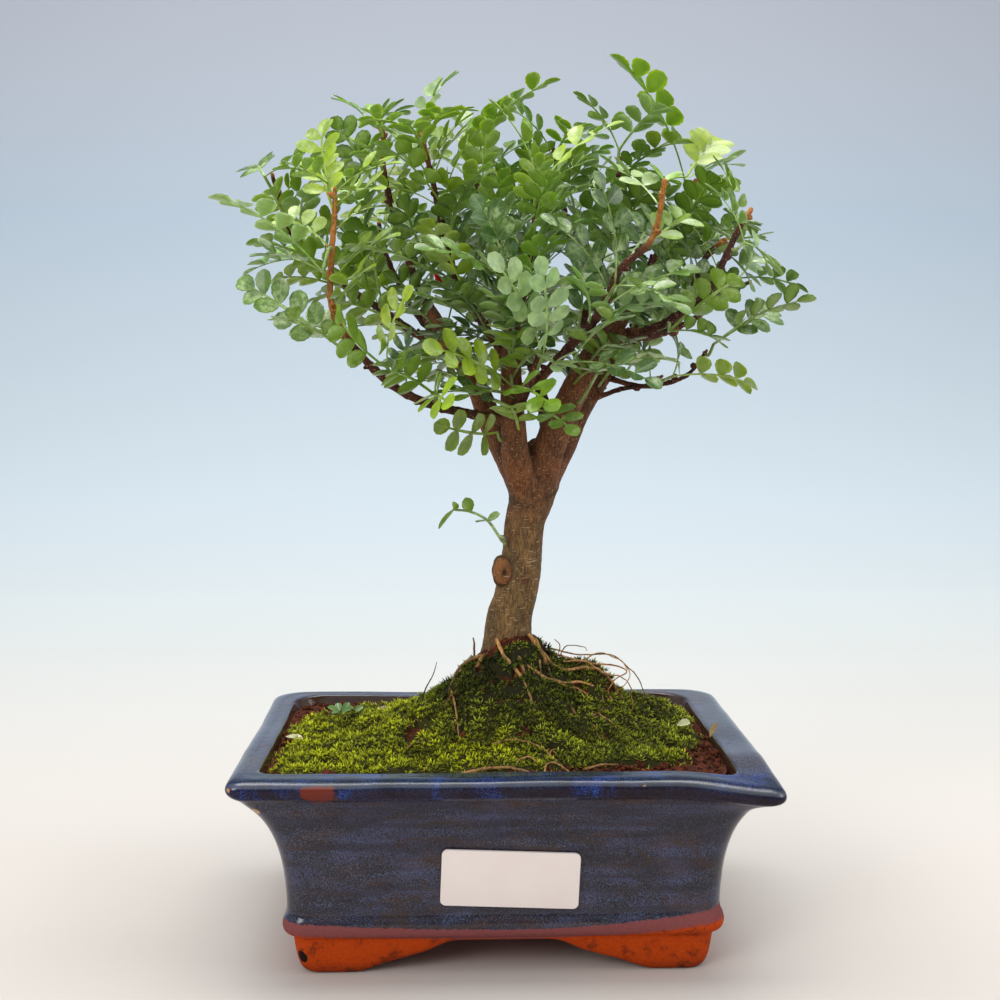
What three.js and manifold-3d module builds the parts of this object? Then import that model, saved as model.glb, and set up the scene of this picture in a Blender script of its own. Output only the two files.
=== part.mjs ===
// Japanese pepper bonsai in a rectangular glazed pot: an indoor tree with pinnate leaves, about 27 cm high.
// Millimetres, +Z up. The front of the tree looks towards -Y, and +X is to the right.
import * as THREE from 'three';
import { mergeVertices } from 'three/addons/utils/BufferGeometryUtils.js';
import Module from 'manifold-3d';

const manifold = await Module();
manifold.setup();

// Pot
const RIM_HALF_X = 77;
const RIM_HALF_Y = 60;
const FLOOR_TOP = 15;
const FLOOR_UNDERSIDE = 10.5;
const FOOT_WALL = 8;
const DRAIN_RADIUS = 7;
const DRAIN_X = 24;
const DRAIN_SIDES = 12;
const CORNER_STEPS = 3;
// The opening lies a little to the left of the rim's middle and behind it
const OPENING_SHIFT = new THREE.Vector3(-1.6, 1, 0);
// The front right corner of the rim warped in firing: it leans out and droops
const WARP_OUT = 0.8;
const WARP_DOWN = 3.5;

// Drain nets
const NET_SIDE = 22;
const NET_THICKNESS = 0.9;
const NET_HOLES = 2;
const NET_HOLE_SIDE = 8;

// Soil and moss
const SEAT_GAP = 0.3;
const WALL_GAP = 0.5;
const SOIL_BOTTOM = 16.4;
const SOIL_LEVEL = 56.5;
const SOIL_SPOKES = 36;
const MOUND_HEIGHT = 26;
const MOUND_REACH = 26;
const SHOULDER = { x: 27, y: 4, height: 15, reach: 15 };
const HUMMOCK = { x: 49, y: 15, height: 7, reach: 9 };
const TRUNK_HOLE_RADIUS = 9.4;
const TRUNK_HOLE_BOTTOM = 54;
const MOSS_GAP = 0.65;
const MOSS_THICKNESS = 1.7;
// Lowest and highest share of that thickness on the moss's cushions
const MOSS_LOW = 0.75;
const MOSS_TOP = 1.4;
const MOSS_EDGE = 0.45;
// How far apart along a spoke two rings of the moss stay at its edge
const MOSS_RING_STEP = 0.015;

// Label, blank
const LABEL_LENGTH = 39.2;
const LABEL_HEIGHT = 16.6;
const LABEL_THICKNESS = 0.8;
const LABEL_CORNER = 1.6;
const LABEL_CENTRE = { x: 1.5, y: -50.25, z: 29.2 };
const LABEL_LEAN = THREE.MathUtils.degToRad(5);
const LABEL_TURN = THREE.MathUtils.degToRad(2.3);

// Tree
const TRUNK_FOOT = new THREE.Vector3(2, 0, 84);
const CROWN_CENTRE = new THREE.Vector3(4, 0, 190);
const WOOD_STEP = 14;
const LEAF_THICKNESS = 0.66;
const RACHIS_HALF = 0.5;
const SHOOT_ELBOW = 1.9;
const SHOOT_RADIUS = 1;
const LEAFLET_ANGLE = THREE.MathUtils.degToRad(60);
const LEAFLET_LENGTH = 6.8;
// Half width of a leaflet's end as a share of the way from one pair to the next
const LEAFLET_HALF = 0.25;
const PAIR_SPACING = 6.3;
const FIRST_LEAFLET = 0.2;
const LAST_LEAFLET = 0.83;
const LEAF_ARCH = 0.09;
const LEAF_CLEARANCE = 0.25;

const COLOURS = {
  glaze: 0x1f2c4a,
  net: 0x202020,
  soil: 0x3a1e16,
  carpet: 0x7f9a2c,
  mound: 0x3f5a22,
  bark: 0x6e5444,
  leaf: 0x4f8a3a,
  youngLeaf: 0x84b544,
  label: 0xecdcd6,
};

function vector(list) {
  return new THREE.Vector3(list[0], list[1], list[2]);
}

// Geometry from rings of points, each with as many points as the next, closed by a flat cap at both ends
function loft(rings) {
  const count = rings[0].length;
  const positions = rings.flat().flatMap((point) => [point.x, point.y, point.z]);
  const index = [];
  for (let ring = 0; ring < rings.length - 1; ring += 1) {
    for (let i = 0; i < count; i += 1) {
      const a = ring * count + i;
      const b = ring * count + ((i + 1) % count);
      index.push(a, b, b + count, a, b + count, a + count);
    }
  }
  const top = (rings.length - 1) * count;
  for (let i = 1; i < count - 1; i += 1) {
    index.push(0, i + 1, i, top, top + i, top + i + 1);
  }
  const geometry = new THREE.BufferGeometry();
  geometry.setAttribute('position', new THREE.Float32BufferAttribute(positions, 3));
  geometry.setIndex(index);
  return geometry;
}

function solidOf(geometry) {
  const bare = geometry.clone();
  bare.deleteAttribute('normal');
  bare.deleteAttribute('uv');
  const merged = mergeVertices(bare, 1e-5);
  const vertProperties = new Float32Array(merged.attributes.position.array);
  const triVerts = new Uint32Array(merged.index.array);
  return new manifold.Manifold(new manifold.Mesh({ numProp: 3, vertProperties, triVerts }));
}

function geometryOf(solid) {
  const mesh = solid.getMesh();
  const geometry = new THREE.BufferGeometry();
  geometry.setAttribute('position', new THREE.BufferAttribute(mesh.vertProperties, 3));
  geometry.setIndex(new THREE.BufferAttribute(mesh.triVerts, 1));
  return geometry;
}

function joined(solids) {
  return solids.reduce((sum, solid) => sum.add(solid));
}

function node(name, geometry, colour, roughness) {
  const material = new THREE.MeshStandardMaterial({ color: colour, roughness, metalness: 0 });
  material.flatShading = true;
  const mesh = new THREE.Mesh(geometry, material);
  mesh.name = name;
  return mesh;
}

// Same draws for the same seed, between 0 and 1
function seededRandom(seed) {
  let state = seed;
  return () => {
    state = (state * 1664525 + 1013904223) % 4294967296;
    return state / 4294967296;
  };
}

// Pot: rows of height, half widths along X and Y, and corner radius, up the outside and down the inside
const OUTSIDE_ROWS = [
  [0, 58.5, 45, 5],
  [3, 59.5, 46, 6],
  [10.5, 61, 47.5, 7],
  [12.5, 62.8, 49.2, 7],
  [16, 63.3, 49.6, 7],
  [17.5, 62.5, 49, 7],
  [25, 62.6, 49.2, 7],
  [32, 63.3, 49.8, 7],
  [38, 64.6, 50.6, 6.5],
  [43.5, 66.5, 52.2, 6],
  [48.5, 69, 54, 5.5],
  [52, 72.4, 56.6, 5],
  [55, 75.3, 58.6, 4],
  [56.2, 76.5, 59.6, 3],
  [59.2, RIM_HALF_X, RIM_HALF_Y, 3],
  [60, 76.2, 59.2, 3],
];
const INSIDE_ROWS = [
  [60, 67.8, 51, 5],
  [59.3, 67, 50.2, 5],
  [SOIL_LEVEL, 66.2, 49.4, 5],
  [50, 61, 46.5, 5],
  [FLOOR_TOP, 54.5, 41, 5],
];

function roundedRectangle(halfX, halfY, radius, z) {
  const points = [];
  for (let corner = 0; corner < 4; corner += 1) {
    const centreX = (corner === 0 || corner === 3 ? 1 : -1) * (halfX - radius);
    const centreY = (corner < 2 ? 1 : -1) * (halfY - radius);
    for (let step = 0; step <= CORNER_STEPS; step += 1) {
      const angle = (corner + step / CORNER_STEPS) * (Math.PI / 2);
      const x = centreX + radius * Math.cos(angle);
      const y = centreY + radius * Math.sin(angle);
      points.push(new THREE.Vector3(x, y, z));
    }
  }
  return points;
}

function warpCorner(point) {
  const { smoothstep } = THREE.MathUtils;
  const weight = smoothstep(point.x, 45, RIM_HALF_X) * smoothstep(-point.y, 30, RIM_HALF_Y)
    * smoothstep(point.z, 48, 57);
  point.add(new THREE.Vector3(weight * WARP_OUT, -weight * WARP_OUT, -weight * WARP_DOWN));
  return point;
}

function potRing([z, halfX, halfY, radius]) {
  return roundedRectangle(halfX, halfY, radius, z).map(warpCorner);
}

function openingRing([z, halfX, halfY, radius]) {
  const points = roundedRectangle(halfX, halfY, radius, z);
  return points.map((point) => warpCorner(point.add(OPENING_SHIFT)));
}

// Half of the foot cut-out's outline under the front and the sides, from the middle outwards
const FRONT_ARCH = [[12, 10.2], [17, 8.8], [22, 6.2], [28, 4.4], [33, 3.1], [38, 1.2], [42, 0], [44, -1]];
const SIDE_ARCH = [[6, 10.2], [9, 8.8], [13, 6.2], [17, 4.4], [20, 3.1], [24, 1.2], [27, 0], [29, -1]];

function archSolid(halfOutline, length) {
  const left = halfOutline.map(([across, up]) => new THREE.Vector2(-across, up)).reverse();
  const right = halfOutline.map(([across, up]) => new THREE.Vector2(across, up));
  const shape = new THREE.Shape([...left, ...right]);
  const geometry = new THREE.ExtrudeGeometry(shape, { depth: length, bevelEnabled: false, steps: 1 });
  geometry.translate(0, 0, -length / 2);
  geometry.rotateX(Math.PI / 2);
  return geometry;
}

function makePot() {
  const body = solidOf(loft([...OUTSIDE_ROWS.map(potRing), ...INSIDE_ROWS.map(openingRing)]));
  const [, footHalfX, footHalfY] = OUTSIDE_ROWS[0];
  const recessX = footHalfX - FOOT_WALL;
  const recessY = footHalfY - FOOT_WALL;
  const recess = loft([-1, FLOOR_UNDERSIDE].map((z) => roundedRectangle(recessX, recessY, 4, z)));
  const frontArch = archSolid(FRONT_ARCH, 4 * footHalfY);
  const sideArch = archSolid(SIDE_ARCH, 4 * footHalfX).rotateZ(Math.PI / 2);
  let pot = body.subtract(solidOf(recess)).subtract(solidOf(frontArch)).subtract(solidOf(sideArch));
  for (const x of [-DRAIN_X, DRAIN_X]) {
    const drain = new THREE.CylinderGeometry(DRAIN_RADIUS, DRAIN_RADIUS, 20, DRAIN_SIDES);
    drain.rotateX(Math.PI / 2);
    drain.translate(x, 0, FLOOR_UNDERSIDE);
    pot = pot.subtract(solidOf(drain));
  }
  return node('pot', geometryOf(pot), COLOURS.glaze, 0.2);
}

// One square of plastic net, lying on the pot's floor over a drain hole
function makeNet(name, x) {
  let net = solidOf(new THREE.BoxGeometry(NET_SIDE, NET_SIDE, NET_THICKNESS));
  const pitch = NET_SIDE / NET_HOLES;
  for (let column = 0; column < NET_HOLES; column += 1) {
    for (let row = 0; row < NET_HOLES; row += 1) {
      const hole = new THREE.BoxGeometry(NET_HOLE_SIDE, NET_HOLE_SIDE, 4 * NET_THICKNESS);
      const [holeX, holeY] = [column, row].map((place) => (place - (NET_HOLES - 1) / 2) * pitch);
      hole.translate(holeX, holeY, 0);
      net = net.subtract(solidOf(hole));
    }
  }
  const mesh = node(name, geometryOf(net), COLOURS.net, 0.6);
  mesh.position.set(x, 0, FLOOR_TOP + SEAT_GAP + NET_THICKNESS / 2);
  return mesh;
}

// Soil: the potting mix fills the pot and rises in a mound to the trunk
function bump(x, y, centreX, centreY, reach) {
  return Math.exp(-((x - centreX) ** 2 + (y - centreY) ** 2) / reach ** 2);
}

function soilHeight(x, y) {
  return SOIL_LEVEL + MOUND_HEIGHT * bump(x, y, TRUNK_FOOT.x, TRUNK_FOOT.y, MOUND_REACH)
    + SHOULDER.height * bump(x, y, SHOULDER.x, SHOULDER.y, SHOULDER.reach)
    + HUMMOCK.height * bump(x, y, HUMMOCK.x, HUMMOCK.y, HUMMOCK.reach);
}

// Half widths of the pot's opening at a height
function openingHalves(z) {
  const rows = INSIDE_ROWS.slice().reverse();
  const upper = Math.max(1, rows.findIndex((row) => row[0] >= z));
  const [below, above] = [rows[upper - 1], rows[upper]];
  const share = (z - below[0]) / (above[0] - below[0]);
  return [1, 2].map((column) => THREE.MathUtils.lerp(below[column], above[column], share));
}

// A point just inside the pot's inner wall at a height, along a spoke from the opening's middle
function wallPoint(spoke, z) {
  const [halfX, halfY] = openingHalves(z).map((half) => half - WALL_GAP);
  const angle = (spoke / SOIL_SPOKES) * 2 * Math.PI;
  const [dx, dy] = [Math.cos(angle), Math.sin(angle)];
  const power = 12;
  const scale = (Math.abs(dx / halfX) ** power + Math.abs(dy / halfY) ** power) ** (-1 / power);
  return [OPENING_SHIFT.x + dx * scale, OPENING_SHIFT.y + dy * scale];
}

// A point of the soil's surface: share 0 is at the trunk's hole and share 1 at the pot's wall
function surfacePoint(spoke, share) {
  const [wallX, wallY] = wallPoint(spoke, SOIL_LEVEL);
  const away = new THREE.Vector2(wallX - TRUNK_FOOT.x, wallY - TRUNK_FOOT.y).setLength(TRUNK_HOLE_RADIUS);
  const holeX = TRUNK_FOOT.x + away.x;
  const holeY = TRUNK_FOOT.y + away.y;
  return [holeX + (wallX - holeX) * share, holeY + (wallY - holeY) * share];
}

const SURFACE_SHARES = [1, 0.84, 0.66, 0.48, 0.32, 0.18, 0.08, 0];

// Height of the soil's own facets along a spoke, which are straight between two rings of its surface
function facetHeight(spoke, share) {
  const outer = SURFACE_SHARES.findLast((ring) => ring >= share);
  const inner = SURFACE_SHARES.find((ring) => ring <= share);
  const [high, low] = [outer, inner].map((ring) => soilHeight(...surfacePoint(spoke, ring)));
  return outer === inner ? high : low + ((high - low) * (share - inner)) / (outer - inner);
}

function spokes() {
  return Array.from({ length: SOIL_SPOKES }, (unused, spoke) => spoke);
}

function makeSoil() {
  const wallHeights = [SOIL_BOTTOM, 50];
  const rings = wallHeights.map((z) => spokes().map((spoke) => {
    const [x, y] = wallPoint(spoke, z);
    return new THREE.Vector3(x, y, z);
  }));
  for (const share of SURFACE_SHARES) {
    rings.push(spokes().map((spoke) => {
      const [x, y] = surfacePoint(spoke, share);
      return new THREE.Vector3(x, y, soilHeight(x, y));
    }));
  }
  rings.push(spokes().map((spoke) => {
    const [x, y] = surfacePoint(spoke, 0);
    return new THREE.Vector3(x, y, TRUNK_HOLE_BOTTOM);
  }));
  return node('soil', loft(rings), COLOURS.soil, 0.95);
}

// Moss: a skin over the soil between two shares of the way to the wall, thickest in its middle
function mossSkin(name, shares, edge, seed, colour) {
  const random = seededRandom(seed);
  const outer = shares.length - 1;
  const reaches = spokes().map((spoke) => edge((spoke / SOIL_SPOKES) * 360) + 0.05 * random());
  const under = [];
  const over = [];
  for (let k = 0; k <= outer; k += 1) {
    const lower = [];
    const upper = [];
    for (const spoke of spokes()) {
      const inside = reaches[spoke] - MOSS_RING_STEP * (outer - k);
      const share = k === outer ? reaches[spoke] : Math.min(shares[k], inside);
      const [x, y] = surfacePoint(spoke, share);
      const rim = k === 0 || k === outer ? MOSS_EDGE : MOSS_LOW + (MOSS_TOP - MOSS_LOW) * random();
      const z = facetHeight(spoke, share) + MOSS_GAP;
      lower.push(new THREE.Vector3(x, y, z));
      upper.push(new THREE.Vector3(x, y, z + MOSS_THICKNESS * rim));
    }
    under.push(lower);
    over.push(upper);
  }
  // Rings run out along the underside and back over the top, so the skin closes on itself as a band
  const rings = [...under, ...over.reverse()];
  const count = SOIL_SPOKES;
  const positions = rings.flat().flatMap((point) => [point.x, point.y, point.z]);
  const index = [];
  for (let ring = 0; ring < rings.length; ring += 1) {
    for (let i = 0; i < count; i += 1) {
      const a = ring * count + i;
      const b = ring * count + ((i + 1) % count);
      const c = (b + count) % (rings.length * count);
      const d = (a + count) % (rings.length * count);
      index.push(a, b, d, b, c, d);
    }
  }
  const geometry = new THREE.BufferGeometry();
  geometry.setAttribute('position', new THREE.Float32BufferAttribute(positions, 3));
  geometry.setIndex(index);
  return node(name, geometry, colour, 0.95);
}

// How far the bright moss reaches towards the wall, by the direction in degrees from +X towards +Y:
// the soil stays bare in the back corners and in front on the right
function carpetEdge(degrees) {
  const bare = [[318, 34, 0.3], [38, 22, 0.22], [143, 16, 0.2]];
  return bare.reduce((reach, [middle, width, depth]) => {
    const turn = Math.abs(((degrees - middle + 540) % 360) - 180);
    return reach - depth * Math.exp(-((turn / width) ** 2));
  }, 0.93);
}

function moundEdge(degrees) {
  const angle = THREE.MathUtils.degToRad(degrees);
  return 0.24 + 0.012 * Math.sin(2 * angle + 1) + 0.007 * Math.sin(5 * angle);
}

// Label: a thin blank tag with round corners, flat against the pot's front wall
function makeLabel() {
  const shape = new THREE.Shape();
  const [halfX, halfY, radius] = [LABEL_LENGTH / 2, LABEL_HEIGHT / 2, LABEL_CORNER];
  shape.moveTo(-halfX + radius, -halfY);
  shape.lineTo(halfX - radius, -halfY);
  shape.absarc(halfX - radius, -halfY + radius, radius, -Math.PI / 2, 0);
  shape.absarc(halfX - radius, halfY - radius, radius, 0, Math.PI / 2);
  shape.absarc(-halfX + radius, halfY - radius, radius, Math.PI / 2, Math.PI);
  shape.absarc(-halfX + radius, -halfY + radius, radius, Math.PI, 1.5 * Math.PI);
  const options = { depth: LABEL_THICKNESS, bevelEnabled: false, curveSegments: 2 };
  const mesh = node('label', new THREE.ExtrudeGeometry(shape, options), COLOURS.label, 0.5);
  mesh.rotation.set(Math.PI / 2 + LABEL_LEAN, 0, 0);
  mesh.rotateZ(-LABEL_TURN);
  mesh.position.set(LABEL_CENTRE.x, LABEL_CENTRE.y, LABEL_CENTRE.z);
  return mesh;
}

// Wood: every limb and branch by its centre line and its radii from the first point to the last
const WOOD = {
  trunk: {
    path: [[2, 0, 55], [2, 0, 78], [2, 0, 84], [3, 0, 95], [5, 0, 102], [6, 0, 109], [7, 0, 117],
      [8, 0, 126], [10, 0, 133], [11, 1, 140], [12, 1, 147]],
    radii: [8.7, 8.7, 7.9, 7, 6.6, 6.6, 6.2, 6.3, 6.9, 7.4, 5],
    sides: 10,
    steps: 13,
  },
  frontLimb: {
    path: [[9, -1, 132], [5, -6, 145], [4, -10, 156], [3, -14, 170], [3, -16, 182]],
    radii: [5, 2.6],
    sides: 7,
  },
  leftLimb: {
    path: [[8, 2, 134], [2, 5, 147], [-3, 8, 158], [-7, 12, 168], [-14, 17, 179], [-23, 25, 194]],
    radii: [4.6, 2.4],
    sides: 7,
  },
  rightLimb: {
    path: [[11, 0, 134], [17, -4, 154], [23, -7, 167], [30, -9, 180], [36, -11, 188]],
    radii: [5.6, 3],
    sides: 7,
  },
  backLimb: {
    path: [[13, 3, 136], [21, 9, 150], [26, 13, 160], [33, 18, 170], [39, 22, 180]],
    radii: [4.6, 2.4],
    sides: 7,
  },
  longLeft: {
    path: [[4, -9, 157], [-6, -14, 159], [-19, -24, 162], [-30, -31, 167], [-39, -35, 175], [-46, -35, 184],
      [-49, -33, 192], [-49, -31, 204], [-48, -29, 218], [-48, -28, 224]],
    radii: [2, 0.9],
  },
  tallLeft: {
    path: [[-22, 24, 190], [-30, 24, 212], [-33, 20, 222], [-36, 14, 235], [-36, 12, 245], [-37, 10, 250]],
    radii: [1.7, 0.9],
  },
  tallFront: {
    path: [[3, -14, 174], [-6, -7, 188], [-12, 2, 198], [-16, -2, 210], [-20, -5, 228], [-24, -6, 245]],
    radii: [1.9, 0.9],
  },
  farLeft: {
    path: [[-16, 19, 182], [-25, 21, 184], [-35, 22, 191], [-43, 20, 196], [-54, 18, 203], [-63, 14, 212],
      [-67, 10, 221], [-70, 6, 233]],
    radii: [1.8, 0.8],
  },
  middle: {
    path: [[3, -16, 180], [1, -8, 198], [-3, 2, 216], [-7, 10, 232], [-8, 12, 241]],
    radii: [1.8, 0.8],
  },
  middleFront: {
    path: [[3, -16, 181], [6, -21, 196], [9, -21, 210], [10, -17, 224]],
    radii: [1.7, 0.8],
  },
  middleBack: {
    path: [[3, -15, 178], [7, 0, 194], [12, 12, 207], [16, 20, 219], [13, 24, 228]],
    radii: [1.6, 0.8],
  },
  backTall: {
    path: [[38, 21, 177], [33, 24, 196], [24, 26, 215], [21, 29, 232], [18, 30, 247]],
    radii: [1.9, 0.8],
  },
  rightTall: {
    path: [[29, -9, 178], [26, -2, 187], [29, 3, 197], [33, 8, 212], [37, 12, 228], [39, 14, 240]],
    radii: [1.7, 0.8],
  },
  frontRight: {
    path: [[4, -13, 166], [11, -20, 170], [21, -30, 181], [25, -33, 185], [29, -36, 192], [33, -39, 201],
      [40, -40, 207], [43, -40, 213], [45, -40, 225]],
    radii: [2, 1],
  },
  right: {
    path: [[34, -11, 184], [42, -15, 184], [51, -19, 188], [61, -21, 196], [66, -21, 206], [71, -20, 216],
      [74, -18, 220]],
    radii: [1.9, 1],
  },
  lowRight: {
    path: [[34, -10, 182], [46, -4, 183], [55, 2, 186], [63, 6, 190], [74, 10, 198], [80, 12, 201]],
    radii: [1.5, 0.8],
  },
  rightStub: {
    path: [[54, 1, 185], [60, 6, 196], [64, 10, 206], [68, 12, 211], [72, 14, 214]],
    radii: [1.4, 1.2],
  },
  upperRight: {
    path: [[35, -11, 185], [46, 0, 204], [53, 9, 214], [61, 18, 227], [64, 22, 234]],
    radii: [1.8, 0.9],
  },
  lowTwig: {
    path: [[28, 14, 163], [39, 10, 167], [46, 6, 168], [51, 4, 171]],
    radii: [1.1, 0.7],
  },
  rightTwig: {
    path: [[34, 18, 171], [45, 14, 168], [54, 10, 169], [60, 6, 172], [65, 4, 179]],
    radii: [1.2, 0.7],
  },
  backLeft: {
    path: [[-9, 13, 171], [-18, 25, 182], [-28, 34, 194], [-36, 39, 210], [-39, 40, 222]],
    radii: [2, 0.8],
  },
  backRight: {
    path: [[30, 16, 165], [40, 27, 178], [49, 33, 192], [55, 36, 208], [56, 36, 220]],
    radii: [2, 0.8],
  },
  backMiddle: {
    path: [[16, 6, 142], [14, 20, 166], [8, 31, 184], [3, 39, 202], [1, 41, 218]],
    radii: [3, 0.8],
  },
};
const BRANCH_SIDES = 5;
const ROOT_SIDES = 4;
const ROOT_STEPS = 4;

// Thick roots that leave the trunk's foot and run over the mound: direction in degrees from +X towards +Y,
// how far they get towards the wall, how far they bend aside on the way, and their radius
const SURFACE_ROOTS = [
  { towards: 285, reach: 0.3, bend: 12, radius: 1.1 },
  { towards: 335, reach: 0.42, bend: -10, radius: 0.9 },
  { towards: 10, reach: 0.5, bend: 14, radius: 0.8 },
  { towards: 225, reach: 0.24, bend: -14, radius: 0.8 },
  { towards: 150, reach: 0.26, bend: 12, radius: 0.9 },
  { towards: 80, reach: 0.32, bend: -12, radius: 1 },
];
const PRUNING_SCAR = { centre: [0.4, -4.6, 111], size: [3.3, 2.6, 4.5] };

function woodCurve(path) {
  return new THREE.CatmullRomCurve3(path.map(vector), false, 'catmullrom', 0.5);
}

function radiusAt(radii, t) {
  const position = t * (radii.length - 1);
  const first = Math.min(Math.floor(position), radii.length - 2);
  return radii[first] + (radii[first + 1] - radii[first]) * (position - first);
}

function stepsOf(path) {
  const points = path.map(vector);
  const length = points.slice(1).reduce((sum, point, i) => sum + point.distanceTo(points[i]), 0);
  return Math.max(3, Math.round(length / WOOD_STEP));
}

// A round tube that follows a path, with its own radius at each step
function taperedTube(centres, radii, sides) {
  let side = new THREE.Vector3(1, 0, 0);
  const rings = centres.map((centre, i) => {
    const before = centres[Math.max(0, i - 1)];
    const after = centres[Math.min(centres.length - 1, i + 1)];
    const along = after.clone().sub(before).normalize();
    if (Math.abs(side.dot(along)) > 0.95) {
      side = new THREE.Vector3(0, 1, 0);
    }
    side = side.clone().addScaledVector(along, -side.dot(along)).normalize();
    const other = along.clone().cross(side);
    return Array.from({ length: sides }, (unused, k) => {
      const angle = (k / sides) * 2 * Math.PI;
      return centre.clone().addScaledVector(side, radii[i] * Math.cos(angle))
        .addScaledVector(other, radii[i] * Math.sin(angle));
    });
  });
  return loft(rings);
}

function woodSamples(branch) {
  const curve = woodCurve(branch.path);
  const steps = branch.steps ?? stepsOf(branch.path);
  const shares = Array.from({ length: steps + 1 }, (unused, i) => i / steps);
  return {
    centres: shares.map((t) => curve.getPoint(t)),
    radii: shares.map((t) => radiusAt(branch.radii, t)),
  };
}

// A point on the soil's facets in any direction from the trunk, between two spokes
function facetPoint(degrees, share) {
  const position = (degrees / 360) * SOIL_SPOKES;
  const first = Math.floor(position);
  const [from, to] = [first, first + 1].map((spoke) => {
    const [x, y] = surfacePoint(spoke, share);
    return new THREE.Vector3(x, y, facetHeight(spoke, share));
  });
  return from.lerp(to, position - first);
}

function surfaceRoot({ towards, reach, bend, radius }) {
  const centres = [new THREE.Vector3(TRUNK_FOOT.x, TRUNK_FOOT.y, TRUNK_FOOT.z + 2)];
  for (let i = 0; i <= ROOT_STEPS; i += 1) {
    const t = i / ROOT_STEPS;
    const place = facetPoint(towards + bend * Math.sin(Math.PI * t), 0.03 + (reach - 0.03) * t);
    place.z += MOSS_GAP + MOSS_TOP * MOSS_THICKNESS + radius + 0.3;
    centres.push(place);
  }
  const radii = centres.map((unused, i) => radius * (1 - (0.45 * i) / ROOT_STEPS));
  return taperedTube(centres, radii, ROOT_SIDES);
}

function makeWood() {
  const tubes = Object.values(WOOD).map((branch) => {
    const { centres, radii } = woodSamples(branch);
    return taperedTube(centres, radii, branch.sides ?? BRANCH_SIDES);
  });
  const scar = new THREE.SphereGeometry(1, 6, 4);
  scar.scale(...PRUNING_SCAR.size);
  scar.translate(...PRUNING_SCAR.centre);
  const roots = SURFACE_ROOTS.map(surfaceRoot);
  const wood = joined([...tubes, scar, ...roots].map(solidOf));
  return node('trunk_and_branches', geometryOf(wood), COLOURS.bark, 0.85);
}

// Leaves. A spray is a short green shoot on a branch, with its pinnate leaves at the shoot's end.
// Each row: branch, share of the way along it, the shoot's end, and the leaves' tips.
const PLACED_SPRAYS = [
  ['upperRight', 0.84, [59, 13, 233], [[38, 0, 262], [78, 22, 239], [72, 27, 248]]],
  ['longLeft', 0.8, [-51, -37, 200], [[-78, -60, 218], [-68, -44, 204]]],
  ['longLeft', 0.52, [-45, -38, 178], [[-75, -31, 198], [-63, -53, 186]]],
  ['rightTwig', 0.97, [67, 3, 181], [[97, -2, 195], [90, 18, 192]]],
  ['frontRight', 0.13, [11, -35, 176], [[9, -56, 202], [-4, -54, 203]]],
  ['frontRight', 0.5, [31, -42, 196], [[25, -48, 226], [48, -60, 188]]],
  ['middleFront', 0.92, [11, -19, 226], [[35, -20, 245], [-3, -24, 250]]],
  ['middle', 0.93, [-8, 13, 243], [[18, 4, 262], [7, 24, 259], [-18, 24, 256]]],
  ['tallFront', 0.92, [-24, -3, 246], [[-14, 4, 263], [-9, -10, 250]]],
  ['lowTwig', 0.95, [54, 1, 171], [[76, -17, 168], [64, 20, 174]]],
  ['frontRight', 0.2, [20, -30, 175], [[43, -45, 168], [34, -54, 187]]],
  ['frontLimb', 0.78, [3, -21, 168], [[-22, -46, 179], [14, -44, 162]]],
  ['longLeft', 0.24, [-19, -28, 165], [[-14, -52, 176], [-31, -52, 172]]],
  ['longLeft', 0.38, [-33, -35, 173], [[-47, -50, 189], [-26, -50, 194], [-42, -42, 166]]],
  ['lowRight', 0.83, [76, 10, 202], [[94, 0, 198], [84, 24, 211]]],
  ['right', 0.7, [71, -23, 210], [[65, -16, 226], [82, -6, 203]]],
  ['rightStub', 0.7, [68, 8, 211], [[76, -10, 198], [62, 28, 216]]],
  ['farLeft', 0.62, [-57, 12, 207], [[-76, 4, 212], [-76, 26, 207]]],
  ['farLeft', 0.95, [-72, 3, 232], [[-52, 4, 238], [-76, 22, 238]]],
  ['longLeft', 0.97, [-50, -25, 226], [[-52, -18, 244], [-62, -36, 229]]],
  ['tallLeft', 0.93, [-40, 14, 250], [[-50, 18, 258], [-30, 28, 256]]],
  ['backTall', 0.95, [17, 33, 247], [[4, 34, 259], [36, 42, 251]]],
  ['rightTall', 0.95, [38, 12, 242], [[25, 8, 258], [58, 8, 252]]],
  ['middleBack', 0.95, [12, 26, 231], [[15, 24, 247], [-4, 42, 240]]],
  ['tallFront', 0.7, [-17, -10, 221], [[-7, -14, 243], [-36, -24, 238]]],
  ['middleFront', 0.4, [2, -27, 197], [[-24, -46, 206], [-8, -34, 221]]],
  ['tallFront', 0.14, [-8, -13, 186], [[-29, -36, 194]]],
  ['tallFront', 0.42, [-20, -5, 202], [[-29, -16, 223], [-46, -24, 208]]],
  ['farLeft', 0.4, [-41, 12, 198], [[-38, -12, 226], [-62, -8, 208]]],
  ['farLeft', 0.15, [-28, 14, 186], [[-50, -6, 194], [-56, 18, 184]]],
  ['rightLimb', 0.45, [29, -15, 172], [[50, -32, 175]]],
  ['right', 0.3, [49, -23, 184], [[66, -40, 198], [62, -38, 180]]],
  ['frontLimb', 0.42, [-1, -12, 154], [[-19, -36, 157]]],
  ['frontLimb', 0.55, [9, -16, 161], [[20, -36, 155]]],
  ['trunk', 0.615, [-3, -8, 126], [[-19, -14, 126]]],
];
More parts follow.
